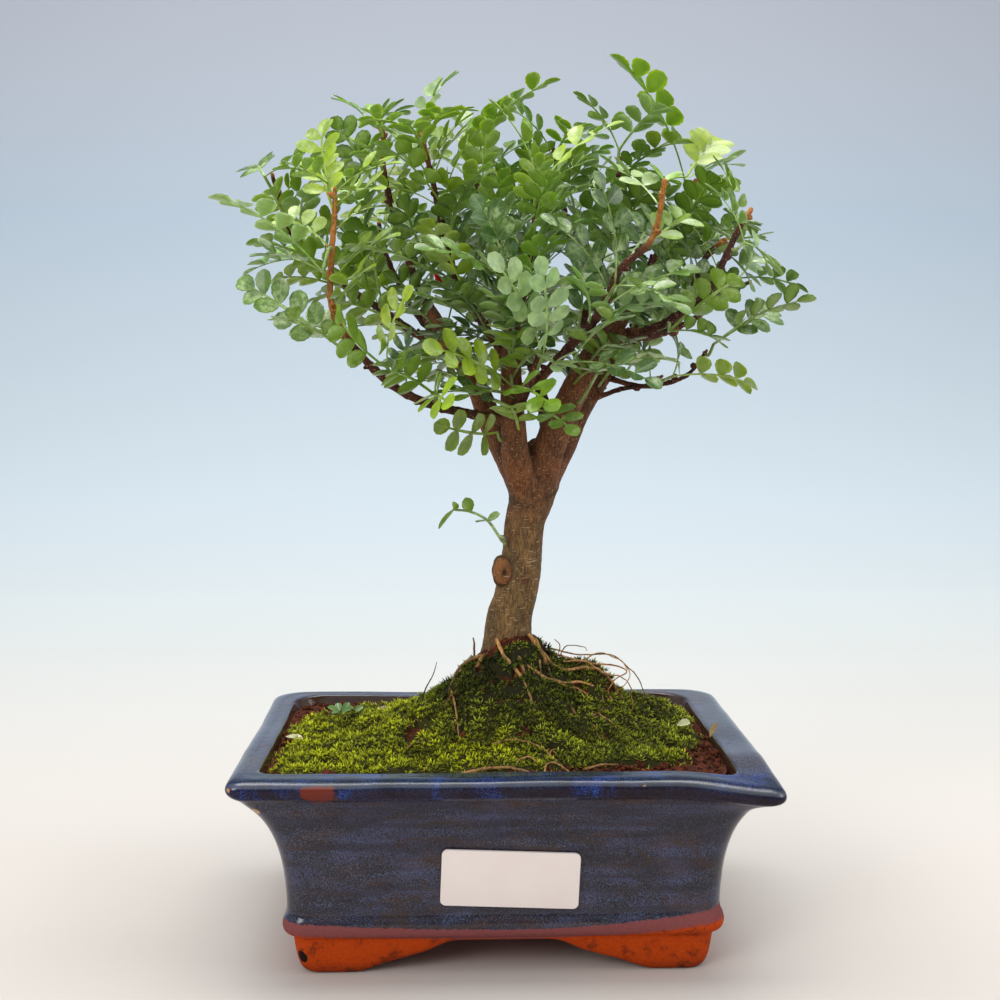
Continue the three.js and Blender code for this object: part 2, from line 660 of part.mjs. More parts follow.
// Branches that also carry sprays where no row above puts them, by their share of the way
const FREE_SPRAYS = [
  ['backLeft', 0.55], ['backLeft', 0.75], ['backLeft', 0.97],
  ['backRight', 0.5], ['backRight', 0.75], ['backRight', 0.97],
  ['backMiddle', 0.55], ['backMiddle', 0.75], ['backMiddle', 0.97],
  ['upperRight', 0.45], ['rightTall', 0.6], ['backTall', 0.5], ['tallLeft', 0.5], ['farLeft', 0.57],
];
const FREE_LEAVES = 3;
const FREE_SEED = 20;

// A leaf's own frame: how its midrib runs from base to tip, and the way its upper face looks
function leafPlan(base, tip) {
  const chord = tip.clone().sub(base);
  const length = chord.length();
  const along = chord.clone().normalize();
  const outward = base.clone().lerp(tip, 0.5).sub(CROWN_CENTRE).normalize();
  const face = outward.add(new THREE.Vector3(0, 0, 0.8));
  face.addScaledVector(along, -face.dot(along)).normalize();
  const across = along.clone().cross(face).normalize();
  const pairs = Math.max(2, Math.round((length * (LAST_LEAFLET - FIRST_LEAFLET)) / PAIR_SPACING));
  const spacing = (length * (LAST_LEAFLET - FIRST_LEAFLET)) / pairs;
  return { base, length, along, face, across, arch: LEAF_ARCH * length, pairs, spacing };
}

function ribPoint(plan, share) {
  return plan.base.clone().addScaledVector(plan.along, plan.length * share)
    .addScaledVector(plan.face, plan.arch * 4 * share * (1 - share));
}

// One leaflet as the middle of its foot on the midrib, its direction, and its end's middle and half width
function leaflet(plan, pair, side) {
  const foot = ribPoint(plan, FIRST_LEAFLET + ((pair + 0.5) * plan.spacing) / plan.length);
  const direction = plan.along.clone().multiplyScalar(Math.cos(LEAFLET_ANGLE))
    .addScaledVector(plan.across, side * Math.sin(LEAFLET_ANGLE));
  const width = plan.along.clone().multiplyScalar(Math.sin(LEAFLET_ANGLE))
    .addScaledVector(plan.across, -side * Math.cos(LEAFLET_ANGLE));
  const length = LEAFLET_LENGTH * (1 - 0.25 * Math.abs(pair / plan.pairs - 0.3));
  const end = foot.clone().addScaledVector(direction, length);
  return { foot, direction, width, end, half: LEAFLET_HALF * plan.spacing };
}

function leaflets(plan) {
  const pairs = Array.from({ length: plan.pairs }, (unused, pair) => pair);
  return pairs.flatMap((pair) => [leaflet(plan, pair, -1), leaflet(plan, pair, 1)]);
}

// A direction that no wood runs along, to turn a box's sides by
const UNALIGNED = new THREE.Vector3(0.3, 0.9, 0.31);

// Oriented boxes stand for leaflets, midribs and wood when a leaf looks for a clear place
function orientedBox(centre, axes, halves) {
  return { centre, axes, halves, reach: Math.hypot(...halves) };
}

function boxesMeet(a, b) {
  const offset = b.centre.clone().sub(a.centre);
  if (offset.length() > a.reach + b.reach) {
    return false;
  }
  const crossed = a.axes.flatMap((first) => b.axes.map((second) => first.clone().cross(second)));
  return [...a.axes, ...b.axes, ...crossed].every((axis) => {
    const spanA = a.axes.reduce((sum, own, i) => sum + Math.abs(axis.dot(own)) * a.halves[i], 0);
    const spanB = b.axes.reduce((sum, own, i) => sum + Math.abs(axis.dot(own)) * b.halves[i], 0);
    return Math.abs(axis.dot(offset)) <= spanA + spanB;
  });
}

function boxAlong(from, to, upward, halfWidth, halfHeight) {
  const along = to.clone().sub(from);
  const halfLength = along.length() / 2;
  along.normalize();
  const across = along.clone().cross(upward).normalize();
  const up = across.clone().cross(along);
  return orientedBox(from.clone().lerp(to, 0.5), [along, across, up], [halfLength, halfWidth, halfHeight]);
}

function leafBoxes(plan) {
  const flat = LEAF_THICKNESS / 2 + LEAF_CLEARANCE;
  const wide = 0.38 * plan.spacing + LEAF_CLEARANCE;
  const boxes = leaflets(plan).map(({ foot, end }) => boxAlong(foot, end, plan.face, wide, flat));
  const ribs = 3;
  for (let i = 0; i < ribs; i += 1) {
    const [from, to] = [i, i + 1].map((k) => ribPoint(plan, 0.06 + (0.8 * k) / ribs));
    boxes.push(boxAlong(from, to, plan.face, RACHIS_HALF + LEAF_CLEARANCE, flat));
  }
  boxes.push(boxAlong(ribPoint(plan, LAST_LEAFLET), ribPoint(plan, 1), plan.face, wide, flat));
  return boxes;
}

function woodBoxes() {
  return Object.values(WOOD).flatMap((branch) => {
    const { centres, radii } = woodSamples(branch);
    return centres.slice(1).map((to, i) => {
      const radius = Math.max(radii[i], radii[i + 1]) + LEAF_CLEARANCE;
      return boxAlong(centres[i], to, UNALIGNED, radius, radius);
    });
  });
}

// A leaf that would cross another spray or the wood is swung to one side or the other, then made shorter
function clearLeaf(base, tip, taken) {
  for (const stretch of [1, 0.82, 0.66]) {
    for (let turn = 0; turn < 15; turn += 1) {
      const swing = THREE.MathUtils.degToRad(7) * Math.ceil(turn / 2) * (turn % 2 === 0 ? 1 : -1);
      const first = leafPlan(base, tip);
      const chord = tip.clone().sub(base).multiplyScalar(stretch).applyAxisAngle(first.face, swing);
      const plan = leafPlan(base, base.clone().add(chord));
      const boxes = leafBoxes(plan);
      if (!boxes.some((box) => taken.some((other) => boxesMeet(box, other)))) {
        return { plan, boxes };
      }
    }
  }
  return null;
}

// Where a branch's tube has its heart, its grain and its surface, at a share of the way along it
function woodPlace(branch, share) {
  const { centres, radii } = woodSamples(branch);
  const position = share * (centres.length - 1);
  const first = Math.min(Math.floor(position), centres.length - 2);
  return {
    heart: centres[first].clone().lerp(centres[first + 1], position - first),
    grain: centres[first + 1].clone().sub(centres[first]).normalize(),
    radius: radii[first] + (radii[first + 1] - radii[first]) * (position - first),
  };
}

function shootPath(branch, share, end) {
  const { heart, grain, radius } = woodPlace(branch, share);
  const out = end.clone().sub(heart);
  out.addScaledVector(grain, -out.dot(grain)).normalize();
  const foot = heart.clone().addScaledVector(out, radius + SEAT_GAP);
  const elbow = heart.clone().addScaledVector(out, radius + SEAT_GAP + SHOOT_ELBOW);
  return [foot, elbow, end];
}

function freeSpray(branchName, share, random) {
  const { heart } = woodPlace(WOOD[branchName], share);
  const outward = heart.clone().sub(CROWN_CENTRE).normalize();
  const draw = () => random() - 0.5;
  const scatter = (amount) => vector([draw(), draw(), draw()]).multiplyScalar(amount);
  const end = heart.clone().addScaledVector(outward.clone().add(scatter(0.9)).normalize(), 5);
  const tips = Array.from({ length: FREE_LEAVES }, (unused, i) => {
    const swing = (i - (FREE_LEAVES - 1) / 2) * 1.25;
    const direction = outward.clone().applyAxisAngle(new THREE.Vector3(0, 0, 1), swing)
      .add(new THREE.Vector3(0, 0, 0.25)).add(scatter(0.5)).normalize();
    return end.clone().addScaledVector(direction, 23 + 6 * random());
  });
  return [branchName, share, end.toArray(), tips.map((tip) => tip.toArray())];
}

function sprayPlans() {
  const random = seededRandom(FREE_SEED);
  const rows = [...PLACED_SPRAYS, ...FREE_SPRAYS.map(([name, share]) => freeSpray(name, share, random))];
  const shoots = rows.map(([name, share, end]) => shootPath(WOOD[name], share, vector(end)));
  const shootBox = ([, elbow, end]) => boxAlong(elbow, end, UNALIGNED, SHOOT_RADIUS, SHOOT_RADIUS);
  const shootBoxes = shoots.map(shootBox);
  const taken = woodBoxes();
  return rows.map((row, i) => {
    const others = shootBoxes.filter((box) => box !== shootBoxes[i]);
    const leaves = row[3].map((tip) => clearLeaf(shoots[i][2], vector(tip), [...taken, ...others]));
    const placed = leaves.filter(Boolean);
    taken.push(...placed.flatMap((leaf) => leaf.boxes));
    return { shoot: shoots[i], leaves: placed.map((leaf) => leaf.plan) };
  });
}

// One leaf: leaflets cut to the midrib in a single thin arched blade, both faces split alike
function leafGeometry(plan) {
  const points = [];
  const faces = [];
  const add = (point) => points.push(point) - 1;
  const station = (share) => [-1, 1].map((side) => {
    const middle = ribPoint(plan, share);
    return add(middle.addScaledVector(plan.across, side * RACHIS_HALF));
  });
  const start = add(plan.base.clone());
  let before = station(FIRST_LEAFLET);
  faces.push([start, before[1], before[0]]);
  const outline = [[before[0]], [before[1]]];
  for (let pair = 0; pair < plan.pairs; pair += 1) {
    const after = station(FIRST_LEAFLET + ((pair + 1) * plan.spacing) / plan.length);
    faces.push([before[0], before[1], after[1]], [before[0], after[1], after[0]]);
    [-1, 1].forEach((side, k) => {
      const { end, width, direction, half } = leaflet(plan, pair, side);
      const rear = add(end.clone().addScaledVector(width, -half));
      const front = add(end.clone().addScaledVector(width, half).addScaledVector(direction, -0.3 * half));
      faces.push(...(side < 0 ? [[before[0], after[0], front], [before[0], front, rear]]
        : [[before[1], rear, front], [before[1], front, after[1]]]));
      outline[k].push(rear, front, after[k]);
    });
    before = after;
  }
  const tip = add(ribPoint(plan, 1));
  const wide = [-1, 1].map((side) => add(ribPoint(plan, 0.35 * LAST_LEAFLET + 0.65)
    .addScaledVector(plan.across, side * 0.36 * plan.spacing)));
  faces.push([before[0], before[1], wide[1]], [before[0], wide[1], wide[0]], [wide[0], wide[1], tip]);
  const loop = [start, ...outline[1], wide[1], tip, wide[0], ...outline[0].reverse()];
  return slab(points, faces, loop, plan.face);
}

// A thin closed blade: the faces once above and once below, and a wall along the outline
function slab(points, faces, loop, face) {
  const shift = face.clone().multiplyScalar(LEAF_THICKNESS / 2);
  const upper = points.map((point) => point.clone().add(shift));
  const lower = points.map((point) => point.clone().sub(shift));
  const count = points.length;
  const index = faces.flatMap(([a, b, c]) => [a, b, c, count + a, count + c, count + b]);
  loop.forEach((a, i) => {
    const b = loop[(i + 1) % loop.length];
    index.push(count + a, count + b, b, count + a, b, a);
  });
  const geometry = new THREE.BufferGeometry();
  const positions = [...upper, ...lower].flatMap((point) => point.toArray());
  geometry.setAttribute('position', new THREE.Float32BufferAttribute(positions, 3));
  geometry.setIndex(index);
  return geometry;
}

function makeSprays() {
  return sprayPlans().map(({ shoot, leaves }, i) => {
    const beyond = shoot[2].clone().sub(shoot[1]).setLength(0.9).add(shoot[2]);
    const stem = taperedTube([shoot[0], shoot[1], beyond], [SHOOT_RADIUS, SHOOT_RADIUS, 0.8], 3);
    const solid = joined([stem, ...leaves.map(leafGeometry)].map(solidOf));
    const colour = i % 4 === 0 ? COLOURS.youngLeaf : COLOURS.leaf;
    return node(`leaf_spray_${String(i + 1).padStart(2, '0')}`, geometryOf(solid), colour, 0.45);
  });
}

const bonsai = new THREE.Group();
bonsai.add(
  makePot(),
  makeNet('drain_net_left', -DRAIN_X),
  makeNet('drain_net_right', DRAIN_X),
  makeSoil(),
  mossSkin('moss_carpet', [0.32, 0.48, 0.66, 0.84, 1], carpetEdge, 5, COLOURS.carpet),
  mossSkin('moss_on_mound', [0.02, 0.08, 0.18, 1], moundEdge, 7, COLOURS.mound),
  makeLabel(),
  makeWood(),
  ...makeSprays(),
);

// The origin is the middle of the whole object's box, on the ground under the feet
const box = new THREE.Box3().setFromObject(bonsai);
const middle = box.getCenter(new THREE.Vector3());
const part = new THREE.Group();
bonsai.position.set(-middle.x, -middle.y, -box.min.z);
part.add(bonsai);

export default part;
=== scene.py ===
import math

import bmesh
import bpy
import numpy as np
from mathutils import Matrix, Vector, noise


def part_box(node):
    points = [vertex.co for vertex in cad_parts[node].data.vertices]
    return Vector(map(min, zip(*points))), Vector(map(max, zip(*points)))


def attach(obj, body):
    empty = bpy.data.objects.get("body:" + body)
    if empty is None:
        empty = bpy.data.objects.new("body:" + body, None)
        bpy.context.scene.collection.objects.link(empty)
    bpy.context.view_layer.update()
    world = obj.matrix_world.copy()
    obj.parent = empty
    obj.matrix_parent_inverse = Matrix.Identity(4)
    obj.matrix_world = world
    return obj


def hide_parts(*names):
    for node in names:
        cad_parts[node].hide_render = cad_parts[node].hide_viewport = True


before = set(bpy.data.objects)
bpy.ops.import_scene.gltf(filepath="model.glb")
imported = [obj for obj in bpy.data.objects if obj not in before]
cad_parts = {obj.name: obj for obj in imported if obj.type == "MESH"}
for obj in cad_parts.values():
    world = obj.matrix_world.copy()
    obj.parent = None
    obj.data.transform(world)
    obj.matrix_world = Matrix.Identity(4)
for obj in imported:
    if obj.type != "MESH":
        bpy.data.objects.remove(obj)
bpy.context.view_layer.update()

# Sizes are in millimetres from the middle of the pot's underside; place() turns them into the frame's metres
MM = 0.001
RIM_HALF = (77.0, 60.0)
POT_LOW, POT_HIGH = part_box("pot")
SHIFT = np.array([POT_LOW.x / MM + RIM_HALF[0], POT_HIGH.y / MM - RIM_HALF[1], 0.0])


def place(points):
    return (np.asarray(points, float) + SHIFT) * MM


def unit(vectors):
    vectors = np.asarray(vectors, float)
    return vectors / np.maximum(np.linalg.norm(vectors, axis=-1, keepdims=True), 1e-12)


def seeded_random(seed):
    """The same draws as the part's own leaf layout, between 0 and 1."""
    state = seed

    def draw():
        nonlocal state
        state = (state * 1664525 + 1013904223) % 4294967296
        return state / 4294967296

    return draw


def noise_at(points, scale, offset=0.0):
    """Smooth noise from about -1 to 1 at each point, with the scale in waves per millimetre."""
    shifted = np.asarray(points, float) * scale + offset
    return np.array([noise.noise(Vector(point)) for point in shifted])


def smoothstep(value, low, high):
    share = np.clip((np.asarray(value, float) - low) / (high - low), 0, 1)
    return share * share * (3 - 2 * share)


def ring_faces(rings, count, closed=False):
    """Faces of a surface through rings that have count points each."""
    faces = []
    for ring in range(rings if closed else rings - 1):
        a = np.arange(count) + ring * count
        b = np.roll(a, -1)
        step = count if ring < rings - 1 else -ring * count
        faces.extend(np.column_stack([a, b, b + step, a + step]).tolist())
    return faces


def closed_faces(rings, count):
    """Faces of a closed body through a line of rings, with one more face over each end."""
    last = (rings - 1) * count
    return ring_faces(rings, count) + [list(range(count))[::-1], list(range(last, last + count))]


def mesh_object(name, points, faces, material, replaces=(), tint=None, marks=None, sharp=None):
    """One piece from points in millimetres; tint is a colour and marks are three numbers for each point."""
    mesh = bpy.data.meshes.new(name)
    mesh.from_pydata(place(points).tolist(), [], [list(face) for face in faces])
    mesh.validate()
    mesh.shade_smooth()
    if sharp is not None:
        mesh.set_sharp_from_angle(angle=math.radians(sharp))
    if tint is not None:
        layer = mesh.color_attributes.new("tint", "FLOAT_COLOR", "POINT")
        colors = np.column_stack([tint, np.ones(len(tint))]).astype(np.float32)
        layer.data.foreach_set("color", colors.ravel())
    if marks is not None:
        layer = mesh.attributes.new("marks", "FLOAT_VECTOR", "POINT")
        layer.data.foreach_set("vector", np.asarray(marks, np.float32).ravel())
    mesh.materials.append(material)
    piece = bpy.data.objects.new(name, mesh)
    bpy.context.scene.collection.objects.link(piece)
    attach(piece, "root")
    if replaces:
        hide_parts(*replaces)
    return piece


def apply_modifiers(piece):
    depsgraph = bpy.context.evaluated_depsgraph_get()
    mesh = bpy.data.meshes.new_from_object(piece.evaluated_get(depsgraph))
    piece.modifiers.clear()
    piece.data = mesh


class Surface:
    """A node material built step by step: each call adds one node and returns its output."""

    def __init__(self, name, **settings):
        self.material = bpy.data.materials.new(name)
        self.material.use_nodes = True
        self.tree = self.material.node_tree
        self.shader = self.tree.nodes["Principled BSDF"]
        for socket, value in settings.items():
            self.shader.inputs[socket.replace("_", " ")].default_value = value

    def add(self, kind, inputs=None, **options):
        node = self.tree.nodes.new("ShaderNode" + kind)
        for option, value in options.items():
            setattr(node, option, value)
        for key, value in (inputs or {}).items():
            if isinstance(value, bpy.types.NodeSocket):
                self.tree.links.new(value, node.inputs[key])
            else:
                node.inputs[key].default_value = value
        return node

    def position(self, stretch=(1, 1, 1)):
        coordinates = self.add("TexCoord").outputs["Object"]
        scale = [s / MM for s in stretch]
        return self.add("Mapping", {"Vector": coordinates, "Scale": scale}).outputs["Vector"]

    def noise(self, vector, scale, detail=3.0, roughness=0.55, distortion=0.0):
        inputs = {"Vector": vector, "Scale": scale, "Detail": detail, "Roughness": roughness}
        node = self.add("TexNoise", {**inputs, "Distortion": distortion})
        return node.outputs["Fac"]

    def cells(self, vector, scale, randomness=1.0):
        node = self.add("TexVoronoi", {"Vector": vector, "Scale": scale, "Randomness": randomness})
        return node.outputs["Distance"]

    def math(self, operation, a, b=0.0, c=0.0):
        return self.add("Math", {0: a, 1: b, 2: c}, operation=operation).outputs[0]

    def times(self, a, b):
        return self.math("MULTIPLY", a, b)

    def between(self, value, low, high, to_low=0.0, to_high=1.0):
        inputs = {"Value": value, "From Min": low, "From Max": high, "To Min": to_low, "To Max": to_high}
        return self.add("MapRange", inputs, interpolation_type="SMOOTHSTEP").outputs["Result"]

    def mix(self, factor, a, b, blend="MIX"):
        node = self.add("Mix", {"Factor": factor}, data_type="RGBA", blend_type=blend)
        for socket, value in ((node.inputs[6], a), (node.inputs[7], b)):
            if isinstance(value, bpy.types.NodeSocket):
                self.tree.links.new(value, socket)
            else:
                socket.default_value = (*value, 1)
        return node.outputs[2]

    def attribute(self, name):
        return self.add("Attribute", attribute_name=name)

    def split(self, vector):
        return self.add("SeparateXYZ", {"Vector": vector}).outputs

    def marks(self):
        return self.split(self.attribute("marks").outputs["Vector"])

    def finish(self, color=None, roughness=None, height=None, bump=0.1, distance=0.3):
        if color is not None:
            self.tree.links.new(color, self.shader.inputs["Base Color"])
        if roughness is not None:
            self.tree.links.new(roughness, self.shader.inputs["Roughness"])
        if height is not None:
            inputs = {"Height": height, "Strength": bump, "Distance": distance * MM}
            node = self.add("Bump", inputs)
            self.tree.links.new(node.outputs["Normal"], self.shader.inputs["Normal"])
        return self.material


# Camera, floor and light
CAMERA_PLACE = (-14.0, -450.0, 168.0)
CAMERA_PITCH = math.radians(4.5)
CAMERA_YAW = math.radians(1.8)
CAMERA_LENS = 52.2
FLOOR_SIZE = 6.0
COVE_START = 0.7
COVE_RADIUS = 1.2
COVE_STEPS = 40
WALL_TOP = 2.6
# Distance behind the object as a share of PAINT_END, and the paint there
PAINT_END = 1.8
FLOOR_TONES = [(0, (0.53, 0.49, 0.455)), (0.09, (0.51, 0.487, 0.46)), (0.26, (0.49, 0.508, 0.50)),
               (0.39, (0.51, 0.55, 0.56)), (0.58, (0.49, 0.555, 0.60)), (0.77, (0.446, 0.517, 0.572)),
               (0.89, (0.423, 0.497, 0.572)), (1, (0.464, 0.495, 0.557))]
# Name, place, target, size, power and colour of each light
LIGHTS = [
    ("overhead", (0, 0.1, 1.3), (0, 0, 0.1), (1.0, 0.7), 15.0, (1.0, 0.985, 0.96)),
    ("front_left", (-0.9, -1.1, 0.8), (0, 0, 0.12), (0.6, 0.6), 8.5, (1.0, 0.985, 0.96)),
    ("right", (1.1, -0.3, 0.7), (0, 0, 0.12), (0.5, 0.7), 4.0, (0.95, 0.98, 1.0)),
    ("backdrop", (0, 0.6, 1.6), (0, 1.5, 0.5), (1.6, 0.6), 9.0, (1, 1, 1)),
]
SKY_COLOR = (0.95, 0.975, 1.0, 1)
# The sky's brightness rises from the horizon to the top
SKY_RISE = (("From Min", -0.05), ("From Max", 0.85), ("To Min", 0.2), ("To Max", 0.95))


def make_camera():
    data = bpy.data.cameras.new("camera")
    data.sensor_width = 36
    data.lens = CAMERA_LENS
    data.clip_start = 0.01
    camera = bpy.data.objects.new("camera", data)
    camera.location = place(CAMERA_PLACE)
    camera.rotation_euler = (math.pi / 2 - CAMERA_PITCH, 0, -CAMERA_YAW)
    bpy.context.scene.collection.objects.link(camera)
    bpy.context.scene.camera = camera


def make_floor():
    """A pale floor that curves up into a pale wall behind the object and turns from cream to light blue."""
    half = FLOOR_SIZE / 2
    profile = [(-half, 0.0), (COVE_START, 0.0)]
    for i in range(1, COVE_STEPS + 1):
        angle = i / COVE_STEPS * math.pi / 2
        profile.append((COVE_START + COVE_RADIUS * math.sin(angle), COVE_RADIUS * (1 - math.cos(angle))))
    profile.append((COVE_START + COVE_RADIUS, WALL_TOP))
    points = [(x, y, z) for y, z in profile for x in (-half, half)]
    faces = [(2 * i, 2 * i + 1, 2 * i + 3, 2 * i + 2) for i in range(len(profile) - 1)]
    mesh = bpy.data.meshes.new("floor")
    mesh.from_pydata(points, [], faces)
    mesh.shade_smooth()
    surface = Surface("floor_paint", Roughness=0.8, Specular_IOR_Level=0.1)
    place_on_floor = surface.split(surface.add("TexCoord").outputs["Object"])
    away = surface.math("DIVIDE", place_on_floor["Y"], PAINT_END)
    ramp = surface.add("ValToRGB", {"Fac": away})
    stops = ramp.color_ramp.elements
    stops[0].color = (*FLOOR_TONES[0][1], 1)
    stops[1].color = (*FLOOR_TONES[-1][1], 1)
    for position, color in FLOOR_TONES[1:-1]:
        stops.new(position).color = (*color, 1)
    surface.finish(ramp.outputs["Color"])
    mesh.materials.append(surface.material)
    floor = bpy.data.objects.new("floor", mesh)
    bpy.context.scene.collection.objects.link(floor)


def area_light(name, place_m, target_m, size, power, color):
    data = bpy.data.lights.new(name, "AREA")
    data.shape = "RECTANGLE"
    data.size, data.size_y = size
    data.energy = power
    data.color = color
    light = bpy.data.objects.new(name, data)
    light.location = place_m
    direction = Vector(target_m) - Vector(place_m)
    light.rotation_euler = direction.to_track_quat("-Z", "Y").to_euler()
    bpy.context.scene.collection.objects.link(light)


def make_light():
    world = bpy.data.worlds.new("world")
    world.use_nodes = True
    tree = world.node_tree
    split = tree.nodes.new("ShaderNodeSeparateXYZ")
    tree.links.new(tree.nodes.new("ShaderNodeTexCoord").outputs["Generated"], split.inputs["Vector"])
    rise = tree.nodes.new("ShaderNodeMapRange")
    for socket, value in SKY_RISE:
        rise.inputs[socket].default_value = value
    tree.links.new(split.outputs["Z"], rise.inputs["Value"])
    background = tree.nodes["Background"]
    background.inputs["Color"].default_value = SKY_COLOR
    tree.links.new(rise.outputs["Result"], background.inputs["Strength"])
    bpy.context.scene.world = world
    for light in LIGHTS:
        area_light(*light)
    bpy.context.scene.view_settings.view_transform = "Standard"


# Pot: rows of height, half widths and corner radius, from under the floor out, up to the rim and down inside
OPENING = (-1.6, 1.0)
FLOOR_TOP = 15.0
FLOOR_UNDERSIDE = 10.5
POT_OUTSIDE = [
    (FLOOR_UNDERSIDE, 50.5, 37, 4), (8, 50.5, 37, 4), (1, 50.6, 37.1, 4), (0, 51.2, 37.7, 4),
    (0, 57.2, 43.8, 5), (0.7, 58.5, 45, 5.6), (3, 59.5, 46, 6), (7, 60.3, 46.8, 6.5), (10.8, 60.8, 47.3, 7),
    (11.4, 61, 47.5, 7), (11.6, 62, 48.4, 7), (12.6, 63.2, 49.5, 7), (14.5, 63.7, 49.9, 7),
    (16.5, 63.4, 49.7, 7), (18, 62.6, 49, 7), (20, 62.4, 48.9, 7), (26, 62.7, 49.2, 7), (32, 63.3, 49.8, 7),
    (38, 64.6, 50.6, 6.5), (43.5, 66.5, 52.2, 6), (48, 69, 54.2, 5.5), (51.3, 71.8, 56.4, 5),
    (54, 74.3, 58.2, 4.5), (54.9, 75.9, 59.4, 4), (56.2, 77, 60.1, 3.5), (57.6, 77.3, 60.3, 3.5),
    (59.1, 76.7, 59.7, 3.5), (60, 75.2, 58.2, 3.5), (60.2, 73.2, 56.3, 3.9),
]
POT_INSIDE = [
    (60, 71, 54, 4.5), (60, 68.4, 51.7, 5), (59.7, 67.8, 51.1, 5), (59.1, 67.4, 50.7, 5),
    (56.5, 66.4, 49.6, 5), (50, 61, 46.5, 5), (40, 59, 44.8, 5), (FLOOR_TOP + 2, 55, 41.4, 5),
    (FLOOR_TOP, 53.5, 40, 5),
]
FRONT_ARCH = [(0, 10.4), (12, 10.2), (17, 8.8), (22, 6.2), (28, 4.4), (33, 3.1), (38, 1.2), (42, 0), (80, 0)]
SIDE_ARCH = [(0, 10.4), (6, 10.2), (9, 8.8), (13, 6.2), (17, 4.4), (20, 3.1), (24, 1.2), (27, 0), (80, 0)]
BACK_CORNER_EXTRA = 6.5
WARP_OUT = 0.8
WARP_DOWN = 3.5
DRAIN_X = 24
DRAIN_RADIUS = 7
DRILL_DEPTH = 14
DRILL_HEIGHT = 12.5
# Left and right end of the rusty place on the lip
RUST_PATCH = (-55.4, -47.2)
# Chips in the glaze, and a dark spot on a foot that is painted shade in a pit: middle and radius
CHIPS = [((-76.6, -60.0, 58.2), 1.1), ((-69.4, -55.6, 50.2), 1.5), ((38, -60.3, 58.6), 0.5)]
PIT_SHADE_SPOTS = [((-57.8, -44.6, 5.2), 1.9), ((-56.9, -44.4, 7.6), 1.4)]
# Colours of the pot; where there are two, a pattern mixes them
GLAZE_BROWN = ((0.012, 0.006, 0.013), (0.036, 0.014, 0.010))
GLAZE_BLUE = ((0.075, 0.12, 0.20), (0.06, 0.075, 0.155))
COBALT = ((0.005, 0.005, 0.022), (0.035, 0.085, 0.36))
DARK_LIP = ((0.013, 0.006, 0.010), (0.05, 0.06, 0.14))
NAVY = ((0.006, 0.008, 0.02), (0.04, 0.075, 0.17))
SMUDGE = (0.035, 0.017, 0.010)
FROST = (0.22, 0.28, 0.38)
RUST = (0.15, 0.024, 0.010)
MUD_AND_SHADE = ((0.012, 0.007, 0.006), (0.07, 0.03, 0.018))
MAUVE = ((0.15, 0.04, 0.042), (0.27, 0.085, 0.082))
CLAY = ((0.33, 0.029, 0.002), (0.58, 0.078, 0.007))
CLAY_STAIN = (0.06, 0.016, 0.008)
CLAY_SPECK = (0.015, 0.008, 0.006)
CHIPPED = (0.48, 0.25, 0.11)
# Painted shade: the near-black colour of the pit on a foot
PIT_SHADE = (0.012, 0.006, 0.005)


def cut_corners(rows, times):
    """Rounds a line of rows by cutting each corner, and keeps its two ends."""
    rows = np.array(rows, float)
    for _ in range(times):
        near = rows[:-1] * 0.75 + rows[1:] * 0.25
        far = rows[:-1] * 0.25 + rows[1:] * 0.75
        middle = np.stack([near, far], axis=1).reshape(-1, rows.shape[1])
        rows = np.vstack([rows[:1], middle, rows[-1:]])
    return rows


def corner_arc(corner, half_x, half_y, radius, steps):
    """Points of one round corner of a rectangle, counted from the right of the back towards the left."""
    sign_x = 1 if corner in (0, 3) else -1
    sign_y = 1 if corner < 2 else -1
    angles = (corner + np.arange(steps + 1) / steps) * math.pi / 2
    centre = (sign_x * (half_x - radius), sign_y * (half_y - radius))
    return centre + radius * np.column_stack([np.cos(angles), np.sin(angles)])


def pot_ring(row, corner_steps=9, long_steps=64, short_steps=48):
    z, half_x, half_y, radius, middle_x, middle_y = row
    extra = BACK_CORNER_EXTRA * float(smoothstep(z, 44, 57))
    radii = (radius + extra, radius + extra, radius, radius)
    arcs = [corner_arc(corner, half_x, half_y, r, corner_steps) for corner, r in enumerate(radii)]
    points = []
    for corner, steps in enumerate((long_steps, short_steps, long_steps, short_steps)):
        start, end = arcs[corner][-1], arcs[(corner + 1) % 4][0]
        points += [arcs[corner], start + (end - start) * np.arange(1, steps)[:, None] / steps]
    ring = np.vstack(points) + (middle_x, middle_y)
    return np.column_stack([ring, np.full(len(ring), z)])


def arch_height(points, outline, axis):
    """Height of the arch between two feet along one axis, with its outline's corners smoothed."""
    table = np.linspace(0, 80, 321)
    heights = np.interp(table, *zip(*outline))
    kernel = np.ones(9) / 9
    padded = np.pad(heights, 8, mode="edge")
    soft = np.convolve(np.convolve(padded, kernel, "same"), kernel, "same")[8:-8]
    return np.interp(np.abs(points[:, axis]), table, soft)


